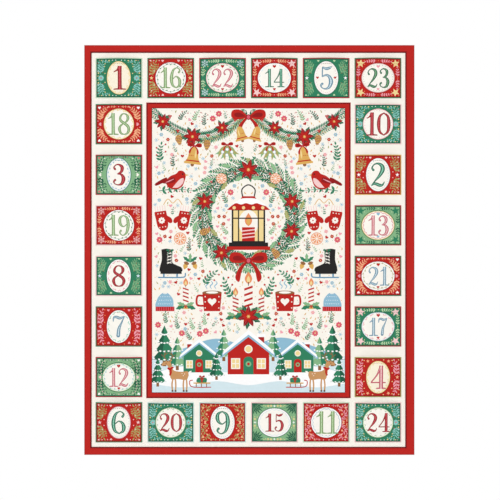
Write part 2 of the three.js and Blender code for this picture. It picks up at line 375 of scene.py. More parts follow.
def numeral(pen, number, height, ink, light):
    """A number of thick and thin strokes, centred, with a pale line and dots down the
    thick ones. Each digit's strokes, round ends included, fill the height. The ends of an
    upright stem are square."""
    digits = [digit_strokes(digit) for digit in str(number)]
    narrow, gap = (1.04, 0) if len(digits) == 1 else (0.94, 3)
    left = -(sum(wide for wide, _ in digits) + gap * (len(digits) - 1)) / 200
    for wide, strokes in digits:
        bent = [np.ptp(path[:, 0]) > 0 for path, _ in strokes]
        reaches = [path[:, 1] + hand * soft * widths / 2 for (path, widths), soft in zip(strokes, bent)
                   for hand in (1, -1)]
        low, high = min(map(np.min, reaches)), max(map(np.max, reaches))
        size = height / (high - low)
        one = pen.at((left * height * narrow, -height / 2 - low * size), size, flip=(narrow, 1))
        for (path, widths), soft in zip(strokes, bent):
            one.stroke(path, widths, ink, round_ends=soft)
        for path, widths in strokes:
            if max(widths) >= 10:
                one.stroke(path, np.maximum(0.55 * widths - 3.5, 0.3), light, round_ends=False)
                thick = smooth(widths[:, None], 3)[1:-1, 0] > 11
                one.dots(smooth(path, 3)[1:-1][thick], 1.2, ink, 6)
        left += (wide + gap) / 100


# Motifs in hundredths of their size, about zero
MOTIFS = {
    "flower": """
leaf*5 ink 3 1.35 0 100 62
dots accent 8 22 0 0""",
    "rosette": """
leaf*6 ink 3 1.35 0 100 62
dots accent 8 22 0 0""",
    "daisy": """
leaf*8 ink 3 1.35 0 100 62
dots accent 8 22 0 0""",
    "frost_arm": """
line ink 1 10 0 0 0 100
line ink 1 8.5 0 42 30 72
line ink 1 8.5 0 42 -30 72
line ink 1 8.5 0 72 22 94
line ink 1 8.5 0 72 -22 94
dots ink 6 9 0 102""",
    "snowflake": """
frost_arm*6 ink 100
star ink 6 26 14""",
    "flake": """
box*3 ink -13 -100 13 100
dots ink 5 24 86.6 50 0 100 -86.6 50 -86.6 -50 0 -100 86.6 -50""",
    "stalks": """
line ink 1 2 4 25 27 41
dots accent 9 5.5 27 41
line ink 1 2 4 45 -27 61
dots accent 9 5.5 -27 61
line ink 1 2 4 68 27 84
dots accent 9 5.5 27 84
line ink 1 2 4 88 -27 104
dots accent 9 5.5 -27 104""",
    "twig": """
bough ink 2 31.8 15.34 3 3 0.9 0 0 10 50 0 100""",
    "sprig": """
twig ink 100
stalks ink,accent 100""",
    "leafy": """
bough ink 2 31.8 15.34 5 3 0.9 0 0 10 50 0 100
stalks ink,accent 100""",
    "sepal": """
holly ink 118 50
line sage 1 2 0 0 0 105""",
    "bract": """
leaf deep_red 4 0.9 0 100 42
line rose 1 2 0 0 0 86""",
    "poinsettia": """
sepal*5 ink 100 0 0 0.5
bract*7 - 100
leaf*6 red 4 0.9 0 66 33 0 0 0.3
dots gold 8 5.5 11 0 5.5 9.526 -5.5 9.526 -11 0 -5.5 -9.526 5.5 -9.526
dots pale_gold 8 6 0 0""",
    "berry": """
dots red 10 52 0 0
dots blush 6 13 -16 18""",
    "berries": """
berry - 100 -50 0
berry - 100 50 10
berry - 100 0 -75""",
    "half_bow": """
blob ink 4 0 0 45 42 95 40 100 -2 55 -14
blob accent 3 16 4 50 26 82 22 80 4 50 0
blob ink 4 2 -6 34 -50 50 -115 72 -92 52 -40 12 0
line accent 3 3 12 -14 42 -50 58 -95""",
    "bow": """
half_bow ink,accent 100
half_bow ink,accent 100 0 0 0 -1
oval accent 12 15 17
oval rose 12 10 12""",
    "bell": """
dots brown 10 11 0 -10
poly gold 0 100 17 93 27 70 31 36 38 14 52 2 50 -6 -50 -6 -52 2 -38 14 -31 36 -27 70 -17 93
poly red -42 10 42 10 39 17 -39 17
leaf pale_gold 4 0.85 0 62 10 -13 26
dots red 6 3 2 44 12 44 22 44""",
    "tied_bell": """
bell - 100
bow red,deep_red 42 0 102""",
    "slice": """
dots amber 28 100 0 0
dots cream 28 88 0 0
wedge*9 - 100""",
    "wedge": """
poly peach 8 0 78 -22 84 0 78 22
poly amber 20 0 66 -12 70 0 66 12""",
    "candle": """
leaf amber 5 0.8 0 34 20 0 66
leaf pale_gold 4 0.8 0 20 10 0 69
line black 1 2 0 60 0 72
box cream -11.5 -10 11.5 62
poly red -11.5 2 11.5 10 11.5 16 -11.5 8
poly red -11.5 17.5 11.5 25.5 11.5 31.5 -11.5 23.5
poly red -11.5 33 11.5 41 11.5 47 -11.5 39
poly red -11.5 48.5 11.5 56.5 11.5 62.5 -11.5 54.5
blob gold 3 -30 -10 0 -6 30 -10 24 -20 0 -24 -24 -20
holly green 42 20 0 -10 1.9
holly sage 36 17 0 -10 1.25
holly green 42 20 0 -10 -1.9
holly sage 36 17 0 -10 -1.25
berries - 6.5 0 -12""",
    "lantern": """
line black 6 2.5 -12 93 -13 108 0 117 13 108 12 93
box black -40 -10 40 0
box red -44 -15 44 -8
box black -34 0 34 68
box pale_gold -30.5 3 30.5 65
oval cream 24 20 26 0 40
leaf amber 5 0.8 0 27 15 0 33
leaf gold 4 0.8 0 16 8 0 35
box red -13 3 13 31
poly blush -13 8 13 11 13 13.5 -13 10.5
poly blush -13 15 13 18 13 20.5 -13 17.5
poly blush -13 22 13 25 13 27.5 -13 24.5
box black -21.2 0 -18.8 68
box black 18.8 0 21.2 68
box black -34 48 34 50.5
poly red -44 66 44 66 34 75 17 87 12 94 -12 94 -17 87 -34 75
dots pale_gold 8 3.5 -29 70.5 -10 70.5 10 70.5 29 70.5
blob white 3 -36 74.5 -17 88 0 90 17 88 36 74.5 25 77 16 80 6 77 -5 80 -15 77 -25 80""",
    "bird": """
bough green,red 3 36.04 16.52 5 5 0.9 -100 -62 0 -50 105 -60
blob deep_red 3 -50 0 -115 -30 -120 -14 -55 22
blob red 4 -62 0 -42 -38 0 -52 42 -36 60 5 66 36 50 60 24 62 6 44 -28 30
blob blush 4 -16 -42 20 -40 48 -14 52 16 30 10 5 -16
blob deep_red 4 -5 22 -30 16 -78 -12 -42 -16 2 -4
line pink 1 3.5 -8 12 -42 -6
line pink 1 3.5 -18 8 -50 -8
line pink 1 3.5 -28 4 -58 -10
poly gold 63 42 86 36 64 30
dots black 8 5 47 42
line black 1 3.5 -5 -48 -3 -60
line black 1 3.5 10 -48 12 -60""",
    "mitten": """
blob red 4 -26 30 -30 -15 -24 -55 0 -68 22 -50 27 -10 26 30
blob red 4 -20 8 -46 -12 -50 -32 -36 -36 -20 -14
box cream -30 27 30 55
box blush -25.5 29 -22.5 53
box blush -13.5 29 -10.5 53
box blush -1.5 29 1.5 53
box blush 10.5 29 13.5 53
box blush 22.5 29 25.5 53
daisy cream,red 17 0 -18
dots cream 6 3 -14 16 0 16 14 16 -14 -50 0 -50 14 -50""",
    "mittens": """
rope gold 6 3.5 -50 50 -25 85 0 66 25 85 50 50
mitten - 100 56 0 -0.14
mitten - 100 -56 0 0.14 -1""",
    "lace": """
line cream 1 3 -14 5 8 0
line cream 1 3 -14 -3 8 8""",
    "skate": """
blob black 4 -42 85 -40 30 -50 -10 -40 -30 50 -30 56 -8 28 6 10 22 8 85
blob cream 3 -50 78 -16 84 18 78 19 98 -16 104 -51 98
box black -46 -38 56 -28
box slate -34 -52 -26 -38
box slate 30 -52 38 -38
rope slate 4 6 -56 -55 50 -55 72 -50 74 -36
lace - 100 0 14
lace - 100 0 29
lace - 100 0 44
lace - 100 0 59
bow green,deep_green 17 0 74""",
    "steam": """
brush blue 5 1 0 0 2 7 14 5 -5 28 5 4 42 2""",
    "mug": """
rope red 6 10 42 30 72 28 74 -14 40 -20
poly red -48 46 -40 -46 40 -46 48 46
oval brown 20 48 10 0 46
oval cream 16 30 6 0 47
heart cream 44 0 -2
steam - 100 -20 64
steam - 100 2 64
steam - 100 24 64
dots cream 6 3.5 -34 -30 -34 0 -34 26 34 -30 34 0 34 26""",
    "sledge": """
box brown -43.5 -22 -36.5 6
box brown -3.5 -22 3.5 6
box brown 36.5 -22 43.5 6
box gold -70 2 62 12
box tan -70 2 62 5
rope red 6 7 -72 -25 50 -25 86 -12 90 22 70 30
blob green 3 -40 12 -42 42 -10 52 30 46 34 12
box red -10 12 2 50
bow red,deep_red 22 -4 56""",
    "window": """
box cream -11 16 11 42
box pale_gold -8.5 18.5 8.5 39.5
box cream -1 18 1 40
box cream -9 28 9 30""",
    "cottage": """
box brick 24 55 38 98
box white 21 93 41 100
poly ink -50 0 50 0 50 55 0 95 -50 55
poly blue -64 44 -64 54 0 105 64 54 64 44 0 93
poly white -62 50 -60 60 0 110 60 60 62 50 0 99
box accent -12 0 12 36
oval accent 14 12 10 0 36
dots sage 12 7 0 28
dots red 8 3.5 0 28
window - 100 -31
window - 100 31
dots cream 16 10 0 64
dots pale_gold 16 7.5 0 64
box white -55 -3 55 3""",
    "deer": """
line tan 3 7 -34 -10 -37 -42 -35.5 -72
box black -40 -76 -31 -69
line tan 3 7 -24 -10 -20 -42 -22 -72
box black -26.5 -76 -17.5 -69
line tan 3 7 18 -10 15 -42 16.5 -72
box black 12 -76 21 -69
line tan 3 7 28 -10 33 -42 30.5 -72
box black 26 -76 35 -69
blob tan 4 -46 2 -34 -20 5 -16 34 -18 44 6 50 40 62 50 80 46 84 54 66 66 50 70 38 60 26 26 -10 18 -40 20
leaf cream 4 0.85 0 20 10 -44 10 0.9
leaf tan 4 0.85 0 16 8 46 66 1
rope brown 5 3.5 46 66 32 88 36 112
rope brown 2 3 34 84 18 98
rope brown 2 3 33 96 46 106
rope brown 5 3.5 54 66 68 88 64 112
rope brown 2 3 66 84 82 98
rope brown 2 3 67 96 54 106
dots black 6 2.2 61 58
dots black 6 3 83 51
rope red 4 10 30 38 42 30 50 34
rope red 4 9 40 32 38 16 42 4
dots cream 6 2.2 -26 8 -14 10 -20 0""",
    "leaf_pair": """
leaf sage 5 0.7 10 100 28 0 0 3.30159
leaf olive 5 0.7 -10 100 28 0 0 2.98159""",
    "pale_berry": """
dots blue 10 11 0 0
dots white 10 9 0 0""",
    "mistletoe": """
leaf_pair - 100 0 0 -0.8
leaf_pair - 100 0 0 -0.3
leaf_pair - 100 0 0 0.3
leaf_pair - 100 0 0 0.8
pale_berry - 100 -30 -42
pale_berry - 100 0 -25
pale_berry - 100 30 -42
pale_berry - 100 2 -62
bow red,deep_red 38 0 6""",
    "acorn": """
leaf gold 5 0.8 0 60 42 0 -10 3.14159
oval brown 14 24 14 0 -10
dots tan 6 2.5 -12 -10 0 -10 12 -10""",
    "acorns": """
acorn - 100 30 0 0.35
acorn - 100 -30 0 -0.35
holly green 80 36 0 0 -0.9
holly sage 80 36
holly green 80 36 0 0 0.9""",
}


def fan(pen, ink, rib):
    """Leaves that spread from a corner at even angles, each with a rib."""
    for step in range(6):
        pen.lay(leaf(22 - 1.4 * abs(step - 2.5), 4.2, points=4), ink, turn=1.62 + 0.285 * step)
        pen.lay(leaf(17, 0.8, points=3), rib, turn=1.62 + 0.285 * step)


def cone(pen, ink):
    """A pine cone hanging down: rows of round scales that narrow to the tip."""
    pen.lay(leaf(1, 0.62, points=6, fullness=0.72), ink, (0, 0.5), math.pi)
    for row in range(6):
        half = 0.24 * math.sin(math.pi * (0.30 + 0.11 * row))
        count = 3 + row % 2
        for k in range(count):
            x = half * (2 * k / (count - 1) - 1) * 0.8
            pen.lay(ellipse(0.075, 0.06, 8), "tan" if row % 2 else "gold", (x, 0.36 - 0.145 * row))


def hat(pen, ink):
    """A woolly hat: a dome with rows of pale chevrons, a ribbed brim and a bobble."""
    pen.at(size=0.01).draw(f"blob {ink} 4 -52 -20 -50 30 -24 66 0 74 24 66 50 30 52 -20")
    for row, z in enumerate((0.02, 0.24, 0.46)):
        for k in range(7 - row):
            pen.at(((k - (6 - row) / 2) * 0.135, z), 0.01).draw("poly white -5 8 0 0 5 8 0 3")
    pen.lay(box(-0.58, -0.40, 0.58, -0.12), "red")
    for k in range(8):
        x = -0.49 + 0.14 * k
        pen.lay(box(x - 0.02, -0.38, x + 0.02, -0.14), "rose")
    pen.lay(star(12, 0.22, 0.15), "cream", (0, 0.84))


def fir(pen, ink, dark):
    """A plain fir in four tiers with snow along their lower edges."""
    pen.lay(box(-0.05, -0.08, 0.05, 0.1), "brown")
    steps = np.linspace(-1, 1, 9)
    for tier in range(4):
        low, half = 0.06 + 0.225 * tier, 0.34 - 0.075 * tier
        tip = (0, low + 0.44 - 0.05 * tier)
        base = [(half * s, low + (0.028 if k % 2 else -0.012) + 0.05 * s * s) for k, s in enumerate(steps)]
        pen.lay(np.array(base + [tip]), ink)
        pen.lay(np.array([(half * 0.96, low + 0.05), (half * 0.2, low + 0.02), tip]), dark)
        for s in steps[::2]:
            pen.lay(ellipse(0.034, 0.022, 8), "white", (half * s * 0.86, low + 0.035 + 0.04 * s * s))


FORMS = {"fan": fan, "cone": cone, "hat": hat, "fir": fir}


# Pocket prints: a quarter is drawn in millimetres from the middle, then mirrored

# Each medallion's half width and half height
MEDALLIONS = {"tall": (21.3, 29.2), "round": (27.0, 27.2), "wide": (29.4, 25.9)}
# Each ring's number of marks and one mark, where {0} is half the way to the next and {1} its lean
RINGS = {
    "dots": (32, "dots ink 6 0.68 0 0\ndots ink 5 0.42 1.9 {0}"),
    "ticks": (16, "brush ink 3 0 0.6 -2.2 0.4 -0.6 0 1.1 0.6 2.2 0.4"),
    "curls": (14, "brush ink 3 1 0 -3.4 0.5 1.1 -1 1.1 -0.9 1.2 1 0.5 2.8 1.5"),
    "leaves": (22, "leaf ink 3 0.85 0 3.9 1.7 0 -2 {1}\nline ink 1 0.45 0 -{0} 0 {0}"),
    "zigzag": (20, "rope ink 1 0.8 -1 -{0} 1 0 -1 {0}"),
}
EDGE_BOUGHS = """
bough accent 3 6.2328 2.5783 3 0.5 0.85 34.9 1.8 35.3 9 34.4 17
bough accent 3 5.2152 2.4662 4 0.5 0.85 3.6 29.9 12 30.1 21.5 28.8"""
POSY = """
bough ink 3 9.4128 3.363 4 0.8 0.9 29.4 3.6 32.4 11 32.6 20 29.4 28.4
bough ink 3 4.8336 2.0178 2 0.5 0.9 37.8 5 38 11 37.2 17
dots accent 8 1 36.8 30.8 25 29.8 9.6 31.2 24.6 20 37.6 22.6 25.2 7.6"""
CORNERS = {
    "sprigs": """
bough ink 3 10.176 2.5783 4 0.7 0.9 32.6 7.4 32.4 15 29.6 25.5
bough ink 3 5.5968 1.9057 3 0.5 0.8 37.4 15 37.2 22 35 29.6
bough ink 3 4.0704 1.4573 2 0.5 0.8 26.8 28.6 22.4 28.8 18.4 27.6
star spot 5 1.9 0.855 36.6 8.8 0.12
star spot 5 1.9 0.855 17.2 30.4 0.12
star spot 5 1.5 0.675 25.4 20.4 0.12
dots pale_gold 8 1 24.6 8 37.4 3.4 30.6 31.2 24.4 25.2
dots white 8 0.8 5 31.2 11 31.2 22.8 31.4 37.5 12
dots accent 8 0.8 28.6 10.4 34.4 31.2 37.4 26.4""",
    "laurel": """
bough ink 3 9.6672 3.0267 5 0.7 0.95 31.4 4.2 33.2 11 32 19 27.6 27
bough ink 3 5.088 1.7936 3 0.5 0.85 37.8 13 37.6 20 34.6 28
bough ink 3 5.3424 1.9057 2 0.5 0.7 24.6 12 24.4 17 22.8 22
heart accent 4.4 14.2 29.9
heart accent 3.4 36.2 30.8
dots accent 8 0.95 20.4 30.8 30.2 31 37.4 6.6 26.4 5.2 34.4 22.6 29.4 12.4""",
    "frost": EDGE_BOUGHS + """
snowflake ink 6 31.6 26
dots spot 8 0.85 26.2 20.4 30.8 13 0 30.6 24.4 30.8 37.4 18.6""",
    "star": EDGE_BOUGHS + """
star ink 5 7.8 3.51 31.2 25.8 0.12
dots spot 8 0.9 37.2 31.4 24.2 24 35.2 0 0 30.2 37.4 19.4 24.8 30.9""",
    "heart": """
bough accent 3 8.6496 3.0267 6 0.7 0.95 33.4 6.4 33.2 14 29.6 21.4 21.8 28
bough accent 3 3.3072 1.6815 2 0.4 0.9 4.2 30.8 10 31 15.4 30.4
heart ink 5.4 34.6 28.9
dots spot 8 0.9 18.4 30.6 0 30.6 37.2 22.4 27 30.9 37.4 5.6""",
    "bough": """
bough ink 3 9.4128 2.5783 4 0.7 0.8 25.4 8 29 13.4 33 18.4 36.8 22.4
bough ink 3 6.6144 2.1299 2 0.6 0.8 30.4 3.6 34.4 7.6 37.8 12.6
bough ink 3 8.1408 2.3541 3 0.6 0.8 23.4 16.6 26.6 22.6 30.6 28.8
heart accent 4.2 14.2 29.8
heart accent 3.6 36 30.2
dots brick 8 0.7 27.8 8.8 33.8 13.6 31.4 22.6 26.6 18""",
    "posy": POSY + """
heart spot 4.8 18.4 28.8""",
    "starry_posy": POSY + """
star spot 5 3.3 1.4 18.4 28.8""",
    "scatter": """
bough ink 3 4.9608 2.0178 3 0.5 0.9 24.6 3.4 29.6 6 32.6 11.6
bough ink 3 5.3424 2.1299 3 0.5 0.9 37.6 9 35.4 15.6 30.4 19.6
bough ink 3 5.3424 2.1299 3 0.5 0.9 23.4 19.4 25.6 26 31.4 29.8
bough ink 3 4.5792 1.9057 2 0.5 0.9 37.8 30.8 37.4 25.6 33.8 21.8
bough ink 3 3.3072 1.4573 2 0.4 0.9 9 30.9 14 30.6 19.6 28.8
bough accent 3 3.816 1.6815 2 0.4 0.9 35.6 0.6 37.8 4 37.6 8
flower accent,spot 2.6 34.6 26.2
flower accent,spot 2.3 28.4 14.6
flower accent,spot 2.4 31 1.4
flower accent,spot 2 20.6 31
flower accent,spot 2 27 21.6
dots spot 8 0.9 5 31.2 23.8 28.2 37.4 20.4 25.2 10.6 34.4 31.2 33.6 6.4""",
    "fan": """
fan ink,accent 1 38.4 32.6
flower spot,olive 2.3 6 30.2
flower spot,olive 2.3 11.2 30
flower spot,olive 2.3 34.8 6
star white 4 2.7 0.918 0 29.9
star white 4 2.7 0.918 34.6 0
dots spot 8 0.8 15.5 29.6 35 10 18.6 30.6 30.8 9.6""",
    "leaf": """
bough ink 3 9.4128 3.363 5 0.8 0.8 29.6 3 32.4 11 31.6 20 28.4 28.6
bough ink 3 5.5968 2.1299 4 0.5 0.8 37.8 5 38 14 36.8 23
bough ink 3 5.3424 2.1299 2 0.5 0.8 24.2 11.5 24.8 18 22.6 25
bough ink 3 3.6888 1.6815 3 0.5 0.9 5 30.8 12 31 19 29.6
heart accent 4.6 35.2 29.6
dots spot 8 0.95 25 28.8 0 30.6 30.8 6 31.9 11 31.9 16 30.8 21 29.2 26
dots accent 8 0.7 37.9 9 37.9 14.5 37.2 20 8.6 30.9 15.4 30.5""",
}
# What stands between the corners at each side of the medallion
SIDE_STAR, SIDE_HEART = "star spot 5 3.7 1.5 34.4 0", "heart spot 6 33.8 0 1.5707963"
SIDES = {"sprigs": "daisy ink,accent 5.6 31.8 0", "laurel": SIDE_STAR, "bough": SIDE_STAR,
         "starry_posy": SIDE_STAR, "heart": SIDE_HEART, "posy": SIDE_HEART, "leaf": SIDE_HEART}
# Each pocket's print: ground, edge line, medallion's form and rim, corner's form and three inks,
# number's ink, light and height, ring's form and ink, heart's ink
POCKETS = dict(enumerate("""
green pale_mint tall pale_gold sprigs teal red pale_gold garnet coral 42 curls pale_gold -
red gold tall white laurel olive blush white fir mint 43 dots teal -
sage crimson tall pale_blue leaf deep_green rose cream garnet coral 38.5 leaves blue -
red olive tall pale_gold starry_posy pink pale_gold peach dusty_rose blush 42 curls pale_gold -
green crimson tall white bough sage pale_green white dusk pale_blue 41.5 dots pink sides
red green tall pink laurel olive blush blush fir mint 41.5 dots teal -
red green tall white posy pink amber pink dusk pale_blue 39 curls mint -
green pale_pink tall white bough sage pale_green pale_blue garnet coral 38.7 curls pink -
red pale_teal tall white scatter olive peach pale_gold fir mint 42 dots blue -
green pale_pink round blush sprigs teal rose pale_gold garnet coral 41 dots pink -
red pale_mint round white scatter pink peach blush moss pale_green 40.5 zigzag blue -
sage crimson wide pale_green leaf deep_green white blush dusty_rose blush 33.7 leaves teal red
sage crimson wide pale_gold star green deep_green pale_green dusty_rose blush 36 zigzag rose blue
red green wide white star blush peach pink fir mint 32.5 curls pale_blue red
sage pale_pink wide white fan deep_green sage pale_gold garnet coral 32.7 zigzag pale_blue -
red green round white laurel olive blush pale_gold moss pale_green 36.7 leaves green -
green crimson wide pale_blue star blush pale_green pale_gold dusk pale_blue 32.5 curls pink red
red green round pale_gold heart white peach pink moss pale_green 38.5 curls pale_gold -
red pale_pink round white frost blush peach pink moss pale_green 37 leaves green -
green pale_teal round pale_green sprigs teal rose pale_gold garnet coral 34.2 ticks sage -
red green wide white heart white peach pink dusk pale_blue 33.7 leaves olive red
green crimson wide blush frost pale_blue pale_green pale_gold dusty_rose blush 33.7 leaves sage red
red green wide blush star pale_gold pink amber deep_green sage 35 dots sage pink
green pale_pink round pale_green sprigs teal rose pale_gold garnet coral 34.3 ticks sage -
""".strip().splitlines(), 1))


def ring(pen, wide, high, form, ink):
    """Small marks at even angles just inside a medallion's rim."""
    count, mark = RINGS[form]
    step = math.pi * wide / count
    for k in range(count):
        angle = (k + 0.5) * ROUND / count
        spot = np.array([(wide - 2.5) * math.cos(angle), (high - 2.5) * math.sin(angle)])
        turn = heading((0, 0), (-wide * math.sin(angle), high * math.cos(angle)))
        pen.at(spot, 1.0, turn).draw(mark.format(step, 0.5 if k % 2 else -0.5), [ink])


def frame_strips(left, low, right, top, thick):
    """The four strips of a frame of even width inside a rectangle."""
    return [box(*strip) for strip in ((left, low, right, low + thick), (left, top - thick, right, top),
                                      (left, low, left + thick, top), (right - thick, low, right, top))]


def pocket_print(number, wide, high, rim=1.3, line=2.0):
    """One pocket's print, wide by high about its middle."""
    (ground, edge, form, halo, corner, ink, accent, spot, figure, light, tall_number, ring_form,
     ring_ink, hearts) = POCKETS[number].split()
    dark = "deep_red" if ground == "red" else "deep_green"
    inks = (ink, accent, spot)
    x, z = wide / 2, high / 2
    sheet = Print(box(-x, -z, x, z), ground)
    pen = Pen(sheet)
    for flip in ((1, 1), (-1, 1), (-1, -1), (1, -1)):
        pen.at(flip=flip).draw(CORNERS[corner], inks)
    for hand in (1, -1):
        pen.at(flip=(hand, 1)).draw(SIDES.get(corner, ""), inks)
    for paint, inset, width in ((edge, 0, rim), (dark, rim, line)):
        for strip in frame_strips(inset - x, inset - z, x - inset, z - inset, width):
            pen.lay(strip, paint)
    across, tall = MEDALLIONS[form]
    fill = "custard" if halo == "pale_gold" and form == "tall" else "ivory"
    for beyond, paint in ((1.1, dark), (0, halo), (-1.3, fill)):
        pen.lay(ellipse(across + beyond, tall + beyond, 48), paint)
    ring(pen, across - 0.6, tall - 0.6, ring_form, ring_ink)
    if hearts == "sides":
        pen.draw("heart red 5.2 15.6 0\nheart red 5.2 -15.6 0")
    elif hearts != "-":
        pen.draw(f"heart {hearts} 6.4 0 {tall - 6.2}\nheart {hearts} 5.2 0 {5.6 - tall}")
    drop = 0 if hearts in ("-", "sides") else -0.4
    numeral(pen.at((0, drop)), number, float(tall_number), figure, light)
    return sheet


# The picture. Places are in millimetres from its middle, and those of the ground from its bottom

# How far apart the cells are that tell bare ground from covered
CELL = 2.5
# What stands on the snow, drawn once and mirrored
GROUND = """
fir sage,green 52 44 60
fir green,deep_green 66 150 52
fir sage,green 54 127 44
cottage green,red 56 88 34
fir green,deep_green 44 57 26
deer - 38 124 30
fir green,deep_green 46 162 14
sledge - 23 84 15"""
# What hangs above it, drawn once and mirrored
SIDE = """
needles deep_green,green,green 15 3.7 0.9 3.1 4 250 44 214 92 203 136 222 176 256
needles sage,green,olive 10 3.9 0.8 2.4 4 243 42 207 92 196 140 214 178 246
poinsettia deep_green 17 100 203 0.3
poinsettia deep_green 15 153 230 0.3
poinsettia deep_green 13 47 219 0.3
berries - 3.3 72 206
berries - 3.3 126 214
berries - 3.3 24 234
berries - 3.3 140 240
cone brown 20 74 188 0.1
cone brown 20 124 197 -0.2
tied_bell - 30 100 156 0.12
mistletoe - 27 38 187
bird - 29 131 124 0 -1
leafy green,red 30 156 158
mittens - 37 135 60
slice - 11 122 21
skate - 37 140 -28 0 -1
acorns - 20 104 -21
mug - 36 65 -92
candle - 45 112 -94
hat blue 29 149 -97
leafy green,red 34 27 -84 -0.5
candle - 46 23 -112
leafy green,red 30 79 -62 0.7"""
# What stands under the wreath and on it, once
MIDDLE = """
lantern - 88 0 14
candle - 66 0 -104
poinsettia deep_green 20 0 -118
bow red,deep_red 30 0 238
bell - 24 -11 198 0.25
bell - 24 11 198 -0.25"""


def wreath(pen, radius):
    """A round wreath: fir boughs laid round, leaves and berries over them, cones, orange
    slices and flowers at even places, and a bow at the bottom."""
    around = lambda angle, reach=1.0: (radius * reach * math.cos(angle), radius * reach * math.sin(angle))
    share = radius / 84
    for angle in np.arange(31) * ROUND / 31:
        for reach, turn, inks in ((0.93, 0.45, "deep_green,green"), (1.07, -0.45, "green,sage,green"),
                                  (1.0, 0.0, "deep_green,green,deep_green")):
            one = pen.at(around(angle, reach), share, angle + turn)
            one.draw(f"needles {inks} 10 3.9 0.7 3.1 0 0 1.5 13 0 27")
    for k, angle in enumerate((np.arange(28) + 0.5) * ROUND / 28):
        one = pen.at(around(angle, 1.0 + 0.13 * (-1) ** k), share, angle + (0.4 if k % 2 else -0.5))
        one.draw(f"holly {'sage' if k % 3 else 'olive'} 19 9\nline pale_green 1 0.5 0 1 0 16")
    for k, angle in enumerate((np.arange(24) + 0.2) * ROUND / 24):
        pen.at(around(angle, 1.0 + 0.10 * math.sin(k * 2.3)), turn=angle).draw(f"berries - {radius * 0.030}")
    for k, angle in enumerate(np.radians((18, 54, 90, 126, 162, 200, 234, 306, 340))):
        one = pen.at(around(angle), radius)
        if k % 2 == 0:
            one.draw(f"poinsettia green {0.235 if k == 2 else 0.20} 0 0 {angle}")
        else:
            one.draw("slice - 0.115" if k in (1, 3) else f"cone brown 0.26 0 0 {angle - math.pi / 2}")
    pen.at(around(-math.pi / 2, 0.98)).draw(f"bow red,deep_red {radius * 0.40}")


def hills(pen, wide, low):
    """Rolling snow: four hills, each a smooth line down to the picture's bottom."""
    edge, drop = wide / 2 + 4, low - 4
    for ink, tops in (("blue", (58, 78, 96, 84, 98, 82, 60)), ("pale_blue", (66, 50, 60, 70, 60, 50, 66)),
                      ("white", (32, 46, 36, 38, 36, 46, 32)), ("pale_blue", (16, 9, 20, 13, 20, 9, 16))):
        path = smooth([(x, low + top) for x, top in zip(np.linspace(-edge, edge, 7), tops)], 8)
        pen.lay(np.concatenate([[(-edge, drop), (edge, drop)], path[::-1]]), ink)


def crossings(outline, spots):
    """How often a ray to the right from each spot crosses an outline: an odd number inside."""
    a, b = outline[:, None], np.roll(outline, -1, 0)[:, None]
    x, z = np.asarray(spots, float).T
    with np.errstate(divide="ignore", invalid="ignore"):
        cross = a[..., 0] + (z - a[..., 1]) / (b[..., 1] - a[..., 1]) * (b[..., 0] - a[..., 0])
    return np.sum(((a[..., 1] > z) != (b[..., 1] > z)) & (cross > x), axis=0)


def covered(outlines, cells, beyond=1.5, reach=1.6):
    """Which cells lie in at least one outline or within reach of one of its points, among
    those no further than beyond from its box."""
    found = np.zeros(len(cells), bool)
    for outline in outlines:
        low, high = outline.min(0) - beyond, outline.max(0) + beyond
        near = np.flatnonzero(~found & np.all((cells > low) & (cells < high), axis=1))
        if len(near):
            close = np.linalg.norm(outline[:, None] - cells[near][None], axis=2).min(0) < reach
            found[near] = (crossings(outline, cells[near]) % 2 == 1) | close
    return found


# What fills the bare ground, the larger things first: the clear ground's radius, how many are
# laid and what the number k is
FILLERS = [
    (11.0, 30, lambda k: f"leafy {('green', 'sage', 'deep_green')[k % 3]},red 19 0 -9"),
    (7.5, 40, lambda k: "daisy rose,pale_gold 6" if k % 3 == 0
     else "sprig green,red 12.5 0 -6" if k % 2 else "twig sage 12.5 0 -6"),
    (5.0, 60, lambda k: f"rosette {('red', 'blue', 'pink')[k % 3]},pale_gold 3.8" if k % 2
     else f"heart {('red', 'pink')[k // 2 % 2]} 6.4"),
    (3.4, 110, lambda k: f"leaf {('gold', 'olive', 'gold')[k % 3]} 2 0.85 0.8 6 2 0 -3" if k % 4
     else "flake blue 2.9"),
    (2.1, 220, lambda k: f"dots {('gold', 'red', 'gold', 'sage')[k % 4]} 7 {(0.85, 0.65)[k % 2]} 0 0"),
]


def scatter(pen, taken, wide, high, margin):
    """Fills the bare ground with small sprigs, hearts, flowers and dots, mirrored left and
    right, each with clear ground round it."""
    maker = np.random.default_rng(7)
    for clear, tries, filler in FILLERS:
        made = 0
        for _ in range(tries * 12):
            if made >= tries:
                break
            spot = maker.uniform((clear + margin, -high / 2 + clear + margin),
                                 (wide / 2 - clear - margin, high / 2 - clear - margin))
            if len(taken) and np.min(np.sum((taken - spot) ** 2, axis=1)) < clear * clear:
                continue
            turn = maker.uniform(-0.7, 0.7)
            for hand in (1, -1):
                pen.at((hand * spot[0], spot[1]), turn=hand * turn, flip=(hand, 1)).draw(filler(made))
            taken = np.concatenate([taken, spot + ellipse(clear * 0.62, points=8), [spot]])
            made += 1


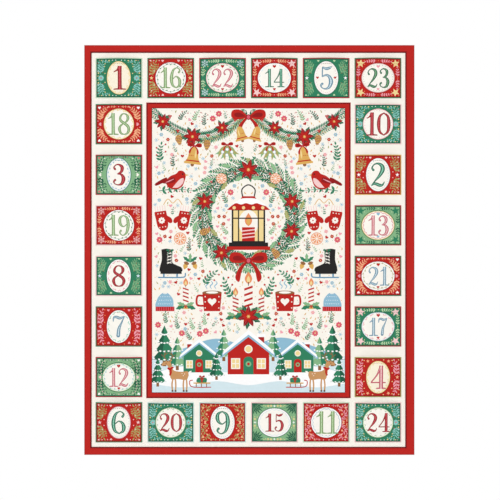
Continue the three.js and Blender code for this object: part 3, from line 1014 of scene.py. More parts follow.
def picture(pen, wide, high):
    """A winter design mirrored left and right: a garland above, a wreath round a lantern in
    the middle and cottages in the snow below, with small things and sprigs between."""
    start = len(pen.sheet.outlines)
    low = -high / 2
    hills(pen, wide, low)
    for hand in (1, -1):
        side = pen.at(flip=(hand, 1))
        side.at((0, low)).draw(GROUND)
        side.draw(SIDE)
    pen.at((0, low)).draw("cottage red,green 74 0 30")
    wreath(pen.at((0, 62)), 82)
    pen.draw(MIDDLE)
    across, up = np.arange(1, wide / 2, CELL), np.arange(low + 1, high / 2, CELL)
    cells = np.stack(np.meshgrid(across, up), -1).reshape(-1, 2)
    drawn = [outline - pen.place for outline in pen.sheet.outlines[start:]]
    scatter(pen, cells[covered(drawn, cells)], wide, high, 2.0)


# Meshes


# The longest edge of a print's outline, in millimetres
PRINT_REACH = 5.0
# How many steps of a print's points make a millimetre
PRINT_GRID = 64
# Where the map holds a sheet's front and back (left, low, right, high) and, below them, the
# two strips of its edge (low, high)
FRONT_PATCH, BACK_PATCH = (0.01, 0.04, 0.80, 0.99), (0.83, 0.04, 0.99, 0.99)
EDGE_STRIPS = (0.002, 0.012), (0.014, 0.024)


def linear(ink):
    """An ink's colour as linear red, green and blue: from s to ((s + 0.055) / 1.055) ** 2.4."""
    s = np.array([int(INKS[ink][k:k + 2], 16) for k in (0, 2, 4)]) / 255
    return np.where(s <= 0.04045, s / 12.92, ((s + 0.055) / 1.055) ** 2.4)


def outline_loop(triangles):
    """The vertices round the edge of a patch of anticlockwise triangles, in that turn."""
    edges = np.concatenate([triangles[:, [0, 1]], triangles[:, [1, 2]], triangles[:, [2, 0]]])
    count = triangles.max() + 1
    codes = edges[:, 0] * count + edges[:, 1]
    open_edges = edges[~np.isin(codes, edges[:, 1] * count + edges[:, 0])]
    following = dict(open_edges.tolist())
    loop = [int(open_edges[0, 0])]
    while following[loop[-1]] != loop[0]:
        loop.append(following[loop[-1]])
    return np.array(loop)


def snapped(points):
    """Points moved to the nearest 64th of a millimetre, which single precision holds exactly,
    so that edges meant to meet do meet."""
    return np.round(np.asarray(points, float) * PRINT_GRID) / PRINT_GRID


def divided(outline, reach):
    """The outline with every edge longer than reach split into even steps, so that a print
    follows a curved cloth."""
    ahead = np.roll(outline, -1, 0) - outline
    counts = np.ceil(np.linalg.norm(ahead, axis=1) / reach - 1e-6).astype(int).clip(1)
    if counts.max() == 1:
        return outline
    steps = [start + move * (np.arange(count) / count)[:, None]
             for start, move, count in zip(outline, ahead, counts)]
    return np.concatenate(steps)


def cut(outlines, inks, lines):
    """Cuts the first outline into triangles along all outlines and at the crossings of the
    lines across and up. Gives the points, the triangles and the ink on top of each."""
    outlines = [snapped(divided(outline, PRINT_REACH)) for outline in outlines]
    first = outlines[0]
    across, up = (snapped(line) for line in lines)
    low, high = first.min(0), first.max(0)
    across = across[(across > low[0] + 1e-6) & (across < high[0] - 1e-6)]
    up = up[(up > low[1] + 1e-6) & (up < high[1] - 1e-6)]
    grid = np.stack(np.meshgrid(across, up), -1).reshape(-1, 2)
    points = np.concatenate(list(outlines) + [grid])
    starts = np.cumsum([0] + [len(outline) for outline in outlines])
    faces = [list(range(a, b)) for a, b in zip(starts[:-1], starts[1:])]
    made = delaunay_2d_cdt([tuple(p) for p in points.tolist()], [], faces, 1, 1e-5, True)
    keep = [(face, inks[max(owners)]) for face, owners in zip(made[2], made[5]) if 0 in owners]
    fixed = {k for k, origins in enumerate(made[3]) if origins and max(origins) >= starts[-1]}
    return merged([tuple(p) for p in made[0]], keep, fixed)


def sides_of(face):
    """The edges of a face in its order."""
    return zip(face, face[1:] + face[:1])


def merged(spots, keep, fixed):
    """The same print cut afresh without the edges that part no two inks. Every edge that
    parts two inks tells them to the triangles beside it, and they pass them on."""
    ink_of = {edge: ink for face, ink in keep for edge in sides_of(face)}
    parting = [(a, b) for (a, b), ink in ink_of.items()
               if ink_of.get((b, a)) != ink and (a < b or (b, a) not in ink_of)]
    used = sorted({k for edge in parting for k in edge} | fixed)
    place = {k: n for n, k in enumerate(used)}
    made = delaunay_2d_cdt([spots[k] for k in used], [(place[a], place[b]) for a, b in parting],
                           [], 0, 1e-5, True)
    points = np.array([tuple(p) for p in made[0]])
    wall = {}
    for (a, b), origins in zip(made[1], made[4]):
        if origins:
            p, q = parting[origins[0]]
            if np.dot(points[b] - points[a], np.subtract(spots[q], spots[p])) < 0:
                p, q = q, p
            wall[a, b], wall[b, a] = ink_of.get((p, q)), ink_of.get((q, p))
    faces = made[2]
    beside = {edge: k for k, face in enumerate(faces) for edge in sides_of(face)}
    inks = [next((wall[edge] for edge in sides_of(face) if edge in wall), None) for face in faces]
    told = [k for k, ink in enumerate(inks) if ink is not None]
    while told:
        k = told.pop()
        for a, b in sides_of(faces[k]):
            other = beside.get((b, a))
            if (a, b) not in wall and other is not None and inks[other] is None:
                inks[other] = inks[k]
                told.append(other)
    return points, np.array(faces), inks


def edged(left, low, right, high, across, up):
    """A rectangle's outline with a point wherever a line across or up meets it."""
    across = [x for x in across if left < x < right]
    up = [z for z in up if low < z < high]
    return np.array([(left, low)] + [(x, low) for x in across] + [(right, low)]
                    + [(right, z) for z in up] + [(right, high)]
                    + [(x, high) for x in across[::-1]] + [(left, high)]
                    + [(left, z) for z in up[::-1]])


def make(name, vertices, faces, paints, material, uv=None, body="calendar", sharp=50):
    """A mesh from vertices in millimetres, faces and one colour for each face."""
    mesh = bpy.data.meshes.new(name)
    mesh.from_pydata((np.asarray(vertices) * MM).tolist(), [], [list(map(int, face)) for face in faces])
    sizes = np.array([len(face) for face in faces])
    colour = np.repeat(np.concatenate([paints, np.ones((len(faces), 1))], 1), sizes, 0)
    attribute = mesh.color_attributes.new("ink", "FLOAT_COLOR", "CORNER")
    attribute.data.foreach_set("color", colour.astype(np.float32).ravel())
    if uv is not None:
        layer = mesh.uv_layers.new(name="OFBake")
        layer.data.foreach_set("uv", np.asarray(uv, np.float32).ravel())
    mesh.shade_smooth()
    mesh.set_sharp_from_angle(angle=math.radians(sharp))
    mesh.materials.append(material)
    piece = bpy.data.objects.new(name, mesh)
    bpy.context.scene.collection.objects.link(piece)
    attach(piece, body)
    return piece


def spread(x, left, right, start, end):
    """Moves x in proportion from between left and right to between start and end."""
    return start + (x - left) / (right - left) * np.subtract(end, start)


def stood(flat, y):
    """Points across and up, with their depth, as X, Y and Z."""
    return np.stack([flat[:, 0], y, flat[:, 1]], 1)


def quads_on_map(across, up):
    """The corners of a row of quads on the map, between each two values of across and
    between the low and the high value of up."""
    return np.stack([np.stack([across[side:len(across) - 1 + side], np.full(len(across) - 1, up[end])], 1)
                     for side, end in ((0, 0), (0, 1), (1, 1), (1, 0))], 1).reshape(-1, 2)


def pushed_out(rim, reach):
    """A rim's points moved outwards by reach, square to the line between their neighbours."""
    ahead = np.roll(rim, -1, 0) - np.roll(rim, 1, 0)
    outward = np.stack([ahead[:, 1], -ahead[:, 0]], 1)
    return rim + reach * (outward / np.linalg.norm(outward, axis=1, keepdims=True))


def printed(name, sheet, lines, front, rear, back_ink, side_ink, material, bulge):
    """A closed sheet of cloth with a print on its front. front and rear give Y at X and Z.
    The edge is a turned fold that stands out by bulge. The front takes most of the map."""
    points, triangles, inks = cut(sheet.outlines, sheet.inks, lines)
    loop = outline_loop(triangles)
    back_points, back_triangles, _ = cut([points[loop]], [back_ink], lines)
    back_loop = outline_loop(back_triangles)
    start = np.argmin(np.linalg.norm(back_points[back_loop] - points[loop[0]], axis=1))
    back_loop = np.roll(back_loop, -start)
    near, far = front(*points.T), rear(*back_points.T)
    fold = stood(pushed_out(points[loop], bulge), (near[loop] + far[back_loop]) / 2)
    vertices = np.concatenate([stood(points, near), fold, stood(back_points, far)])
    ring = len(points) + np.arange(len(loop))
    back = back_loop + len(points) + len(loop)
    join = lambda a, b: np.stack([a, b, np.roll(b, -1), np.roll(a, -1)], 1)
    sides = np.concatenate([join(loop, ring), join(ring, back)])
    back_faces = back_triangles[:, ::-1] + len(points) + len(loop)
    faces = triangles.tolist() + sides.tolist() + back_faces.tolist()
    paints = np.concatenate([[linear(ink) for ink in inks], np.tile(linear(side_ink), (len(sides), 1)),
                             np.tile(linear(back_ink), (len(back_faces), 1))])
    low, high = points.min(0), points.max(0)
    place = lambda flat, patch: spread(flat, low, high, patch[:2], patch[2:])
    along = np.arange(len(loop) + 1) / len(loop)
    uv = np.concatenate([place(points, FRONT_PATCH)[triangles.ravel()]]
                        + [quads_on_map(along, strip) for strip in EDGE_STRIPS]
                        + [place(back_points, BACK_PATCH)[back_triangles[:, ::-1].ravel()]])
    return make(name, vertices, faces, paints, material, uv)


def swept(name, sections, paints, material, body="calendar"):
    """A closed body through sections: an array of sections, points and X, Y, Z. Each section
    runs round once; flat faces close the ends. One colour for each step round."""
    count, around = sections.shape[:2]
    grid = np.arange(count * around).reshape(count, around)
    following = np.roll(grid, -1, 1)
    sides = np.stack([grid[:-1], following[:-1], following[1:], grid[1:]], -1).reshape(-1, 4)
    faces = sides.tolist() + [grid[0][::-1].tolist(), grid[-1].tolist()]
    colours = np.concatenate([np.tile(paints, (count - 1, 1)), np.tile(paints[0], (2, 1))])
    lengths = np.linalg.norm(np.diff(sections, axis=0), axis=-1).mean(1)
    along = np.concatenate([[0], np.cumsum(lengths)]) / lengths.sum()
    u = np.arange(around + 1) / around
    r, c = np.indices((count - 1, around)).reshape(2, -1)
    quads = np.stack([np.stack([spread(along[r + i], 0, 1, 0.01, 0.9),
                                spread(u[c + j], 0, 1, 0.01, 0.99)], 1)
                      for i, j in ((0, 0), (0, 1), (1, 1), (1, 0))], 1).reshape(-1, 2)
    disc = ellipse(0.03, points=around)
    uv = np.concatenate([quads, disc[::-1] + (0.95, 0.25), disc + (0.95, 0.75)])
    return make(name, sections.reshape(-1, 3), faces, colours, material, uv, body, 40)


# Materials

# Colours as linear red, green, blue and alpha
SEED_BROWN = (0.30, 0.19, 0.09, 1)
PALE_WOOD, DARK_GRAIN = (0.72, 0.50, 0.28, 1), (0.47, 0.27, 0.12, 1)
FLOOR_GREY = (0.86, 0.86, 0.86, 1)


class Value:
    """A shader socket that can be added, multiplied and so on like a number."""

    def __init__(self, tree, socket):
        self.tree = tree
        self.socket = socket

    def calc(self, operation, *inputs, clamp=False):
        """One Math node, its result held to between zero and one where clamp is set."""
        settings = {"operation": operation, "use_clamp": clamp}
        return self.tree.node("ShaderNodeMath", settings, dict(enumerate(inputs)))

    def __add__(self, other):
        return self.calc("ADD", self, other)

    __radd__ = __add__

    def __sub__(self, other):
        return self.calc("SUBTRACT", self, other)

    def __rsub__(self, other):
        return self.calc("SUBTRACT", other, self)

    def __mul__(self, other):
        return self.calc("MULTIPLY", self, other)

    __rmul__ = __mul__

    def __truediv__(self, other):
        return self.calc("DIVIDE", self, other)

    def __rtruediv__(self, other):
        return self.calc("DIVIDE", other, self)

    def sin(self):
        """The sine of an angle in radians."""
        return self.calc("SINE", self)

    def greater(self, other):
        """The greater of two values."""
        return self.calc("MAXIMUM", self, other)

    def above(self, edge, width):
        """Zero below edge, one above edge + width, a straight ramp between."""
        return self.calc("DIVIDE", self - edge, width, clamp=True)


class Nodes:
    """The nodes of a material or the world, the shader that they feed and a method that adds
    one."""

    def __init__(self, owner, shader):
        owner.use_nodes = True
        self.nodes = owner.node_tree.nodes
        self.links = owner.node_tree.links
        self.shader = self.nodes[shader]

    def node(self, kind, settings=None, inputs=None, output=0):
        """Adds a node, sets it up, and gives one of its outputs."""
        made = self.nodes.new(kind)
        for key, value in (settings or {}).items():
            setattr(made, key, value)
        for key, value in (inputs or {}).items():
            if isinstance(value, Value):
                self.links.new(value.socket, made.inputs[key])
            else:
                made.inputs[key].default_value = value
        return Value(self, made.outputs[output])

    def feed(self, socket, value):
        """Links a value to one of the shader's sockets."""
        self.links.new(value.socket, self.shader.inputs[socket])


class Paint(Nodes):
    """One node material with its Principled shader."""

    def __init__(self, name, roughness, **constants):
        self.material = bpy.data.materials.new(name)
        super().__init__(self.material, "Principled BSDF")
        self.shader.inputs["Roughness"].default_value = roughness
        for socket, value in constants.items():
            self.shader.inputs[socket.replace("_", " ")].default_value = value

    def place(self):
        """Object coordinates in millimetres, as a vector and as X, Y and Z."""
        metres = self.node("ShaderNodeTexCoord", output=3)
        vector = self.node("ShaderNodeVectorMath", {"operation": "SCALE"}, {0: metres, "Scale": 1 / MM})
        axes = [self.node("ShaderNodeSeparateXYZ", None, {0: vector}, k) for k in range(3)]
        return vector, axes

    def ink(self):
        """The mesh's own inks."""
        return self.node("ShaderNodeVertexColor", {"layer_name": "ink"})

    def noise(self, vector, scale, detail=2.0):
        """Blender's noise texture, from zero to one with 0.5 in the middle."""
        return self.node("ShaderNodeTexNoise", None, {"Vector": vector, "Scale": scale, "Detail": detail})

    def blend(self, share, colour, other=(0, 0, 0, 1)):
        """One colour mixed towards another, or towards black, by share."""
        return self.node("ShaderNodeMix", {"data_type": "RGBA"}, {0: share, 6: colour, 7: other}, 2)

    def bump(self, height, distance):
        """Shapes the surface's light by a height of up to distance in millimetres."""
        self.feed("Normal", self.node("ShaderNodeBump", None,
                                      {"Height": height, "Distance": distance * MM, "Strength": 1.0}))


def cotton(name, pitch=0.55, mottle=0.07, flecks=0.0):
    """Woven cotton in the mesh's own inks: threads over and under at an even pitch in
    millimetres, darker patches as strong as mottle and seed flecks as strong as flecks."""
    paint = Paint(name, 0.88, Sheen_Weight=0.08, Specular_IOR_Level=0.25)
    vector, (x, _, z) = paint.place()
    colour = paint.blend(paint.noise(vector, 0.12, 3.0) * mottle, paint.ink())
    if flecks:
        specks = paint.noise(vector, 1.6).above(0.66, 0.05)
        colour = paint.blend(specks * flecks, colour, SEED_BROWN)
    paint.feed("Base Color", colour)
    weave = (x * (ROUND / pitch)).sin() * (z * (ROUND / pitch)).sin() * 0.5 + 0.5
    slubs = paint.noise(vector, 0.9)
    paint.bump(weave * 0.6 + slubs * 0.8, 0.05)
    return paint.material


def fluff(name):
    """Wadding: matt white fibres with a soft, uneven surface."""
    paint = Paint(name, 0.95, Sheen_Weight=0.2, Specular_IOR_Level=0.1)
    vector, _ = paint.place()
    paint.feed("Base Color", paint.blend(paint.noise(vector, 0.35, 5.0) * 0.14, paint.ink()))
    paint.bump(paint.noise(vector, 0.8, 6.0), 0.8)
    return paint.material


def timber(name):
    """Pale wood with long grain along X: stretched noise drives colour and relief."""
    paint = Paint(name, 0.5, Specular_IOR_Level=0.35)
    vector, _ = paint.place()
    drawn = paint.node("ShaderNodeVectorMath", {"operation": "MULTIPLY"}, {0: vector, 1: (0.035, 1, 1)})
    grain = paint.noise(drawn, 0.9, 5.0)
    fine = paint.noise(drawn, 4.0, 3.0)
    streaks = grain * 0.7 + fine * 0.3
    paint.feed("Base Color", paint.blend(streaks.above(0.35, 0.35), PALE_WOOD, DARK_GRAIN))
    paint.bump(streaks, 0.12)
    return paint.material


def spun(name):
    """Sewing thread: the mesh's own inks with a fine grain."""
    paint = Paint(name, 0.8, Specular_IOR_Level=0.3)
    vector, _ = paint.place()
    paint.feed("Base Color", paint.blend(paint.noise(vector, 2.0) * 0.15, paint.ink()))
    return paint.material


print_cloth = cotton("printed_cotton")
binding_cloth = cotton("red_binding_cotton", mottle=0.05)
back_cloth = cotton("calico_weave", pitch=0.7, flecks=0.55, mottle=0.10)
wadding_fluff = fluff("wadding_fibre")
rod_wood = timber("pale_wood")
thread = spun("sewing_thread")


# The calendar's layers


def smoothstep(x, low, high):
    """3t² - 2t³ of the share t of the way from low to high, held to 0 and 1 outside."""
    t = np.clip((x - low) / (high - low), 0, 1)
    return t * t * (3 - 2 * t)


def ripple(x, z, seed, length, count=7):
    """A soft random relief between about -1 and 1: the sum of sines along seeded directions
    with waves about length long, over 1.4 times the root of their count."""
    maker = np.random.default_rng(seed)
    total = 0
    for _ in range(count):
        angle = maker.uniform(0, math.pi)
        wave = ROUND / (length * maker.uniform(0.7, 1.6))
        phase = maker.uniform(0, ROUND)
        total = total + np.sin(wave * (x * math.cos(angle) + z * math.sin(angle)) + phase)
    return total / math.sqrt(count) / 1.4


# From the pockets' inner edges to the picture frame's outline: at the sides, above and below
SIDE_CLEAR, TOP_CLEAR, BOTTOM_CLEAR = 7.65, 8.3, 7.7
# How far in from its outline the quilted picture rises, and how wide its red frame is
CROWN_RAMP = 44.0
FRAME_BAND = 10.1
WADDING_THICK = 3.5

panel_low, panel_high = node_box("front_panel")
wadding_low, wadding_high = node_box("wadding")
backing_low, backing_high = node_box("backing_cloth")
cloth = backing_high[1] - backing_low[1]
panel_plane = panel_high[1] - cloth
first_pocket = node_box("pocket_01")
last_pocket = node_box("pocket_24")
pocket_plane = first_pocket[1][1]
pocket_depth = pocket_plane - first_pocket[0][1]
crown_high = panel_plane - panel_low[1]
picture_left = first_pocket[1][0] + SIDE_CLEAR
picture_right = last_pocket[0][0] - SIDE_CLEAR
picture_top = first_pocket[0][2] - TOP_CLEAR
picture_bottom = last_pocket[1][2] + BOTTOM_CLEAR


def crown(x, z):
    """How far the quilted picture stands out: nothing at its outline, then a quarter sine
    over the ramp from each side."""
    slope = lambda a, b: np.sin(math.pi / 2 * np.clip(np.minimum(a, b) / CROWN_RAMP, 0, 1))
    across, up = slope(x - picture_left, picture_right - x), slope(z - picture_bottom, picture_top - z)
    return crown_high * across * up


def panel_front(x, z):
    """The panel's face: the plane, the crown with soft ripples, faint ones elsewhere."""
    rise = crown(x, z)
    share = rise / crown_high
    relief = 0.10 * ripple(x, z, 3, 60) * share + 0.05 * ripple(x, z, 5, 25) * share
    return panel_plane - rise * 0.94 + relief + 0.04 * ripple(x, z, 7, 45) * (1 - share)


def calendar_print():
    """The panel's print: cream ground, then the picture and, over its edges, cream strips
    and the red frame's bands from the outside in. Also gives the cloth's lines, about 7 mm
    apart."""
    across = np.linspace(panel_low[0], panel_high[0], 84)
    up = np.linspace(panel_low[2], panel_high[2], 104)
    outline = edged(panel_low[0], panel_low[2], panel_high[0], panel_high[2], across, up)
    sheet = Print(outline, "cream")
    edges = np.array([picture_left, picture_bottom, picture_right, picture_top])
    middle = (edges[:2] + edges[2:]) / 2
    picture(Pen(sheet, place=middle), *(edges[2:] - edges[:2] - 2 * FRAME_BAND))
    far = -24.0
    for ink, near in (("cream", -0.5), ("red", 0.2), ("wine", 2.1), ("red", 9.0), ("wine", FRAME_BAND)):
        for strip in frame_strips(*(edges + np.array([1, 1, -1, -1]) * far), near - far):
            sheet.lay(strip, ink)
        far = near
    return sheet, (across, up)


panel_sheet, panel_lines = calendar_print()
front_panel = printed("front_panel_cloth", panel_sheet, panel_lines, panel_front,
                      lambda x, z: panel_front(x, z) + cloth, "cream", "cream", print_cloth, 0.1)
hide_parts("front_panel")


def layer_grid(low, high, step):
    """Evenly spaced lines across and up between two corners."""
    return [np.linspace(low[k], high[k], int((high[k] - low[k]) / step) + 2) for k in (0, 2)]


def plain_sheet(low, high, lines, ink):
    """A sheet in one ink whose outline has points on the lines."""
    return Print(edged(low[0], low[2], high[0], high[2], *lines), ink)


def stitched_pull(x, z, width=7.0):
    """How strongly cloth is drawn in near the quilting line: one on it, falling as a bell."""
    reach = np.minimum(np.minimum(abs(x - picture_left), abs(x - picture_right)),
                       np.minimum(abs(z - picture_bottom), abs(z - picture_top)))
    beside = ((x > picture_left - width) & (x < picture_right + width)
              & (z > picture_bottom - width) & (z < picture_top + width))
    return np.where(beside, np.exp(-(reach / (width / 2)) ** 2), 0)


wadding_lines = layer_grid(wadding_low, wadding_high, 9)
wadding_face = wadding_high[1] - WADDING_THICK
wadding = printed("wadding_layer", plain_sheet(wadding_low, wadding_high, wadding_lines, "white"),
                  wadding_lines,
                  lambda x, z: wadding_face - 0.94 * crown(x, z) + 0.12 * (1 + ripple(x, z, 11, 30)),
                  lambda x, z: np.full(len(x), wadding_high[1]) - 0.05, "white", "white",
                  wadding_fluff, 0.1)
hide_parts("wadding")


def backing_rear(x, z):
    """The backing's outside: drawn in by 0.3 mm at the quilting line, with short puckers
    that run away from it and faint ripples between."""
    pull = stitched_pull(x, z)
    puckers = np.sin((x + z) * 0.62) * np.sin((x - z) * 0.57)
    return backing_high[1] - 0.30 * pull + 0.10 * pull * puckers - 0.04 * (1 + ripple(x, z, 13, 50))


backing_lines = layer_grid(backing_low, backing_high, 4.5)
backing = printed("backing_calico", plain_sheet(backing_low, backing_high, backing_lines, "calico"),
                  backing_lines, lambda x, z: backing_rear(x, z) - cloth * 0.8, backing_rear,
                  "calico", "calico", back_cloth, 0.1)
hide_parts("backing_cloth")


# Stitches


# A stitch's length and the gap after it
STITCH, STITCH_GAP = 2.7, 0.7


def stitch_row(start, end):
    """Where each stitch of a straight row starts and ends."""
    start, end = np.array(start, float), np.array(end, float)
    reach = np.linalg.norm(end - start)
    count = max(int(reach / (STITCH + STITCH_GAP)), 1)
    pitch = reach / count
    ahead = (end - start) / reach
    first = start + np.arange(count)[:, None] * pitch * ahead
    return np.stack([first, first + ahead * pitch * STITCH / (STITCH + STITCH_GAP)], 1)


def stitch_box(left, low, right, high):
    """Rows of stitches along the four sides of a rectangle."""
    corners = box(left, low, right, high)
    return np.concatenate([stitch_row(corners[k - 1], corners[k]) for k in (1, 2, 3, 0)])


def stitches(name, rows, surface, ink, outward=-1, radius=0.24):
    """Thread on a surface: each stitch is a spindle of three square rings between two tips.
    Its middle stands outward from the surface by its radius and its tips lie in it."""
    a, b = rows[:, 0], rows[:, 1]
    ahead = (b - a) / np.linalg.norm(b - a, axis=1, keepdims=True)
    side = np.stack([-ahead[:, 1], ahead[:, 0]], 1)
    ways = np.array([0.14, 0.5, 0.86])
    rings = []
    for way, thick, lift in zip(ways, (0.75, 1.0, 0.75), (0.35, 0.9, 0.35)):
        middle = a + (b - a) * way
        y = surface(*middle.T) + outward * radius * lift
        for across, out in ((1, 0), (0, 1), (-1, 0), (0, -1)):
            rings.append(stood(middle + side * across * radius * thick, y + outward * out * radius * thick))
    tips = [stood(p, surface(*p.T) + outward * 0.02) for p in (a, b)]
    points = np.stack(rings + tips, 1)
    pattern = [(12, (k + 1) % 4, k) for k in range(4)] + [(13, 8 + k, 8 + (k + 1) % 4) for k in range(4)]
    pattern = [face + (face[-1],) for face in pattern]
    pattern += [(4 * r + k, 4 * r + (k + 1) % 4, 4 * r + 4 + (k + 1) % 4, 4 * r + 4 + k)
                for r in range(2) for k in range(4)]
    pattern = np.array(pattern)
    if outward > 0:
        pattern = pattern[:, ::-1]
    faces = (pattern[None] + 14 * np.arange(len(a))[:, None, None]).reshape(-1, 4)
    faces = [list(dict.fromkeys(face)) for face in faces.tolist()]
    paints = np.tile(linear(ink), (len(faces), 1))
    return make(name, points.reshape(-1, 3), faces, paints, thread, sharp=80)


# Pockets


def pocket_lines(wide, high, seam, hem):
    """Lines across and up a pocket: close together at the edges, the seams and the hem."""
    rim = [0.0, 0.3, 0.8, 1.6, 2.5, seam, seam + 0.7]
    across = rim + list(np.linspace(seam + 3, wide - seam - 3, 17)) + [wide - x for x in rim[::-1]]
    top = [high - hem - 1.2, high - hem, high - hem + 1.2, high - 6, high - 1.6, high - 0.7, high - 0.2, high]
    up = rim + list(np.linspace(seam + 3, high - hem - 3, 12)) + top
    return np.array(across), np.array(up)


def pocket(number):
    """A patch pocket: its folded edges are sewn flat at the sides and the bottom, and between
    them its wall stands off the panel as a sine across and a quarter sine up to the mouth."""
    name = f"pocket_{number:02d}"
    ground, edge_ink = POCKETS[number].split()[:2]
    (left, _, low), (right, _, top) = node_box(name)
    wide, high = right - left, top - low
    # The seams' and the hem's width, the seams' thickness and the wall's
    seam, hem, thick, wall = 3.6, 12.0, 1.4, 0.9
    vary = np.random.default_rng(100 + number)
    full, lean, seed = vary.uniform(0.76, 0.88), vary.uniform(0.9, 1.1), int(vary.integers(1000))
    across, up = pocket_lines(wide, high, seam, hem)
    belly = pocket_depth - thick

    def stand(x, z):
        """How far the wall stands off, as a share of the belly."""
        u = np.clip((x - left - seam) / (wide - 2 * seam), 0, 1) ** lean
        v = np.clip((z - low - seam) / (high - seam), 0, 1)
        return np.sin(math.pi * u) * np.sin(math.pi / 2 * v) * full

    def edge(x, z, reach):
        """The nearest turned edge's distance as a share of reach, held to one."""
        nearest = np.minimum(np.minimum(x - left, right - x), z - low)
        return np.clip(nearest / reach, 0, 1)

    def front(x, z):
        """The face: the belly and the hem's rise, a lip that turns in at the mouth, a round
        edge, a bell of puckers by the seam and a soft drape."""
        share = stand(x, z)
        hem_rise = 0.30 * smoothstep(z, top - hem - 1.0, top - hem + 0.6)
        lip = 0.35 * (1 - np.clip((top - z) / 0.8, 0, 1)) ** 2
        round_edge = 0.75 * (1 - np.sqrt(1 - (1 - edge(x, z, 1.3)) ** 2))
        pucker = 0.10 * np.exp(-((edge(x, z, 6.0) * 6 - 3.2) / 1.6) ** 2) * np.sin((x + z) * 1.35 + seed)
        drape = 0.25 * ripple(x, z, seed, 38) * share
        return (pocket_plane - thick + 0.12 - share * belly * 0.96 - hem_rise * share + lip
                + round_edge + pucker * (1 - share) + drape - 0.12 * smoothstep(edge(x, z, 3.4), 0.5, 1))

    def rear(x, z):
        """The inside: a wall's thickness behind the face, flat on the panel at the seams."""
        inner = (x > left + seam) & (x < right - seam) & (z > low + seam)
        hem_thick = 0.6 * smoothstep(z, top - hem - 0.6, top - hem + 0.6)
        inside = np.minimum(front(x, z) + wall + hem_thick, pocket_plane)
        return np.where(inner, inside, pocket_plane)

    sheet = pocket_print(number, wide, high)
    middle = np.array([(left + right) / 2, (low + top) / 2])
    sheet.outlines = [outline + middle for outline in sheet.outlines]
    sheet.outlines[0] = edged(left, low, right, top, across[1:-1] + left, up[1:-1] + low)
    lines = (across + left, up + low)
    piece = printed(name + "_cloth", sheet, lines, front, rear, "lining", edge_ink, print_cloth, 0.28)
    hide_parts(name)
    ground + "_pocket"
    seat = 2.4
    rows = [stitch_row((left + seat, top - 1.2), (left + seat, low + seat)),
            stitch_row((left + seat, low + seat), (right - seat, low + seat)),
            stitch_row((right - seat, low + seat), (right - seat, top - 1.2)),
            stitch_row((left + seat + 1, top - hem + 1.6), (right - seat - 1, top - hem + 1.6))]
    ink = {"red": "brick", "green": "deep_green", "sage": "green"}[ground]
    stitches(name + "_stitches", np.concatenate(rows), front, ink)


for number in POCKETS:
    pocket(number)


# Binding


def binding_strip(name, inward, leg, start_leg, end_leg, seed):
    """A strip folded over one edge: straight front and back legs and a round fold between
    them. Both ends are mitred towards the inner corners. A wine line along the inner edge of
    the front is partly a printed keyline and partly painted shade where the binding's edge meets the panel."""
    low, high = node_box(name)
    deep = (high[1] - low[1]) / 2
    centre = (high[1] + low[1]) / 2
    wall, keyline_and_shade_width, mitre_gap, step = 1.0, 2.7, 0.3, 6
    horizontal = inward[0] == 0
    along_low, along_high = (low[0], high[0]) if horizontal else (low[2], high[2])
    edge = {(1, 0): low[0], (-1, 0): high[0], (0, 1): low[2], (0, -1): high[2]}[inward]
    sign = inward[0] + inward[1]
    fold = np.linspace(-math.pi / 2, math.pi / 2, 13)
    outer = [(leg - 0.05, 0.25 - deep), (leg - 0.4, 0.05 - deep), (leg - 1.2, -deep), (leg - 2.6, -deep)]
    outer += [(leg + (deep - leg) * t, -deep) for t in (0.35, 0.65, 0.85)]
    outer += [(deep - deep * math.cos(a), deep * math.sin(a)) for a in fold]
    outer += [(leg + (deep - leg) * t, deep) for t in (0.85, 0.65, 0.35)]
    outer += [(leg - 1.5, deep), (leg - 0.4, deep - 0.05), (leg - 0.05, deep - 0.25)]
    reach = deep - wall
    inner = [(leg - 0.05, reach + 0.12), (leg - 0.5, reach)]
    inner += [(deep - reach * math.cos(a), reach * math.sin(a)) for a in fold[::-1]]
    inner += [(leg - 0.5, -reach), (leg - 0.05, -reach - 0.12)]
    depth, out = np.array(outer + inner).T
    start = along_low + depth * start_leg / leg - mitre_gap
    end = along_high - depth * end_leg / leg + mitre_gap
    along = start + (end - start) * np.linspace(0, 1, int((along_high - along_low) / step))[:, None]
    soft = np.where(abs(out) > reach + 0.2, 0.10, 0.0) * (1 + ripple(along, depth, seed, 26))
    y = centre + out - np.sign(out) * soft
    place = np.broadcast_to(edge + sign * depth, y.shape)
    sections = np.stack([along, y, place] if horizontal else [place, y, along], -1)
    # The wine band along the front leg's inner edge: partly a printed keyline, partly painted shade of the
    # binding's edge on the panel
    line = (out < 0) & (np.roll(out, -1) < 0) & (np.minimum(depth, np.roll(depth, -1)) > leg - keyline_and_shade_width)
    paints = np.array([linear("wine" if dark else "red") for dark in line])
    turn = (1 if horizontal else -1) * sign
    if turn < 0:
        sections = sections[:, ::-1]
        paints = np.roll(paints[::-1], -1, 0)
    piece = swept(name + "_cotton", sections, paints, binding_cloth)
    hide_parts(name)
    (2 * leg + 12) * MM


border = {name: node_box("binding_" + name) for name in ("left", "right", "top", "bottom")}
left_leg = border["left"][1][0] - border["left"][0][0]
right_leg = border["right"][1][0] - border["right"][0][0]
top_leg = border["top"][1][2] - border["top"][0][2]
bottom_leg = border["bottom"][1][2] - border["bottom"][0][2]
binding_strip("binding_left", (1, 0), left_leg, bottom_leg, top_leg, 21)
binding_strip("binding_right", (-1, 0), right_leg, bottom_leg, top_leg, 22)
binding_strip("binding_top", (0, -1), top_leg, left_leg, right_leg, 23)
binding_strip("binding_bottom", (0, 1), bottom_leg, left_leg, right_leg, 24)

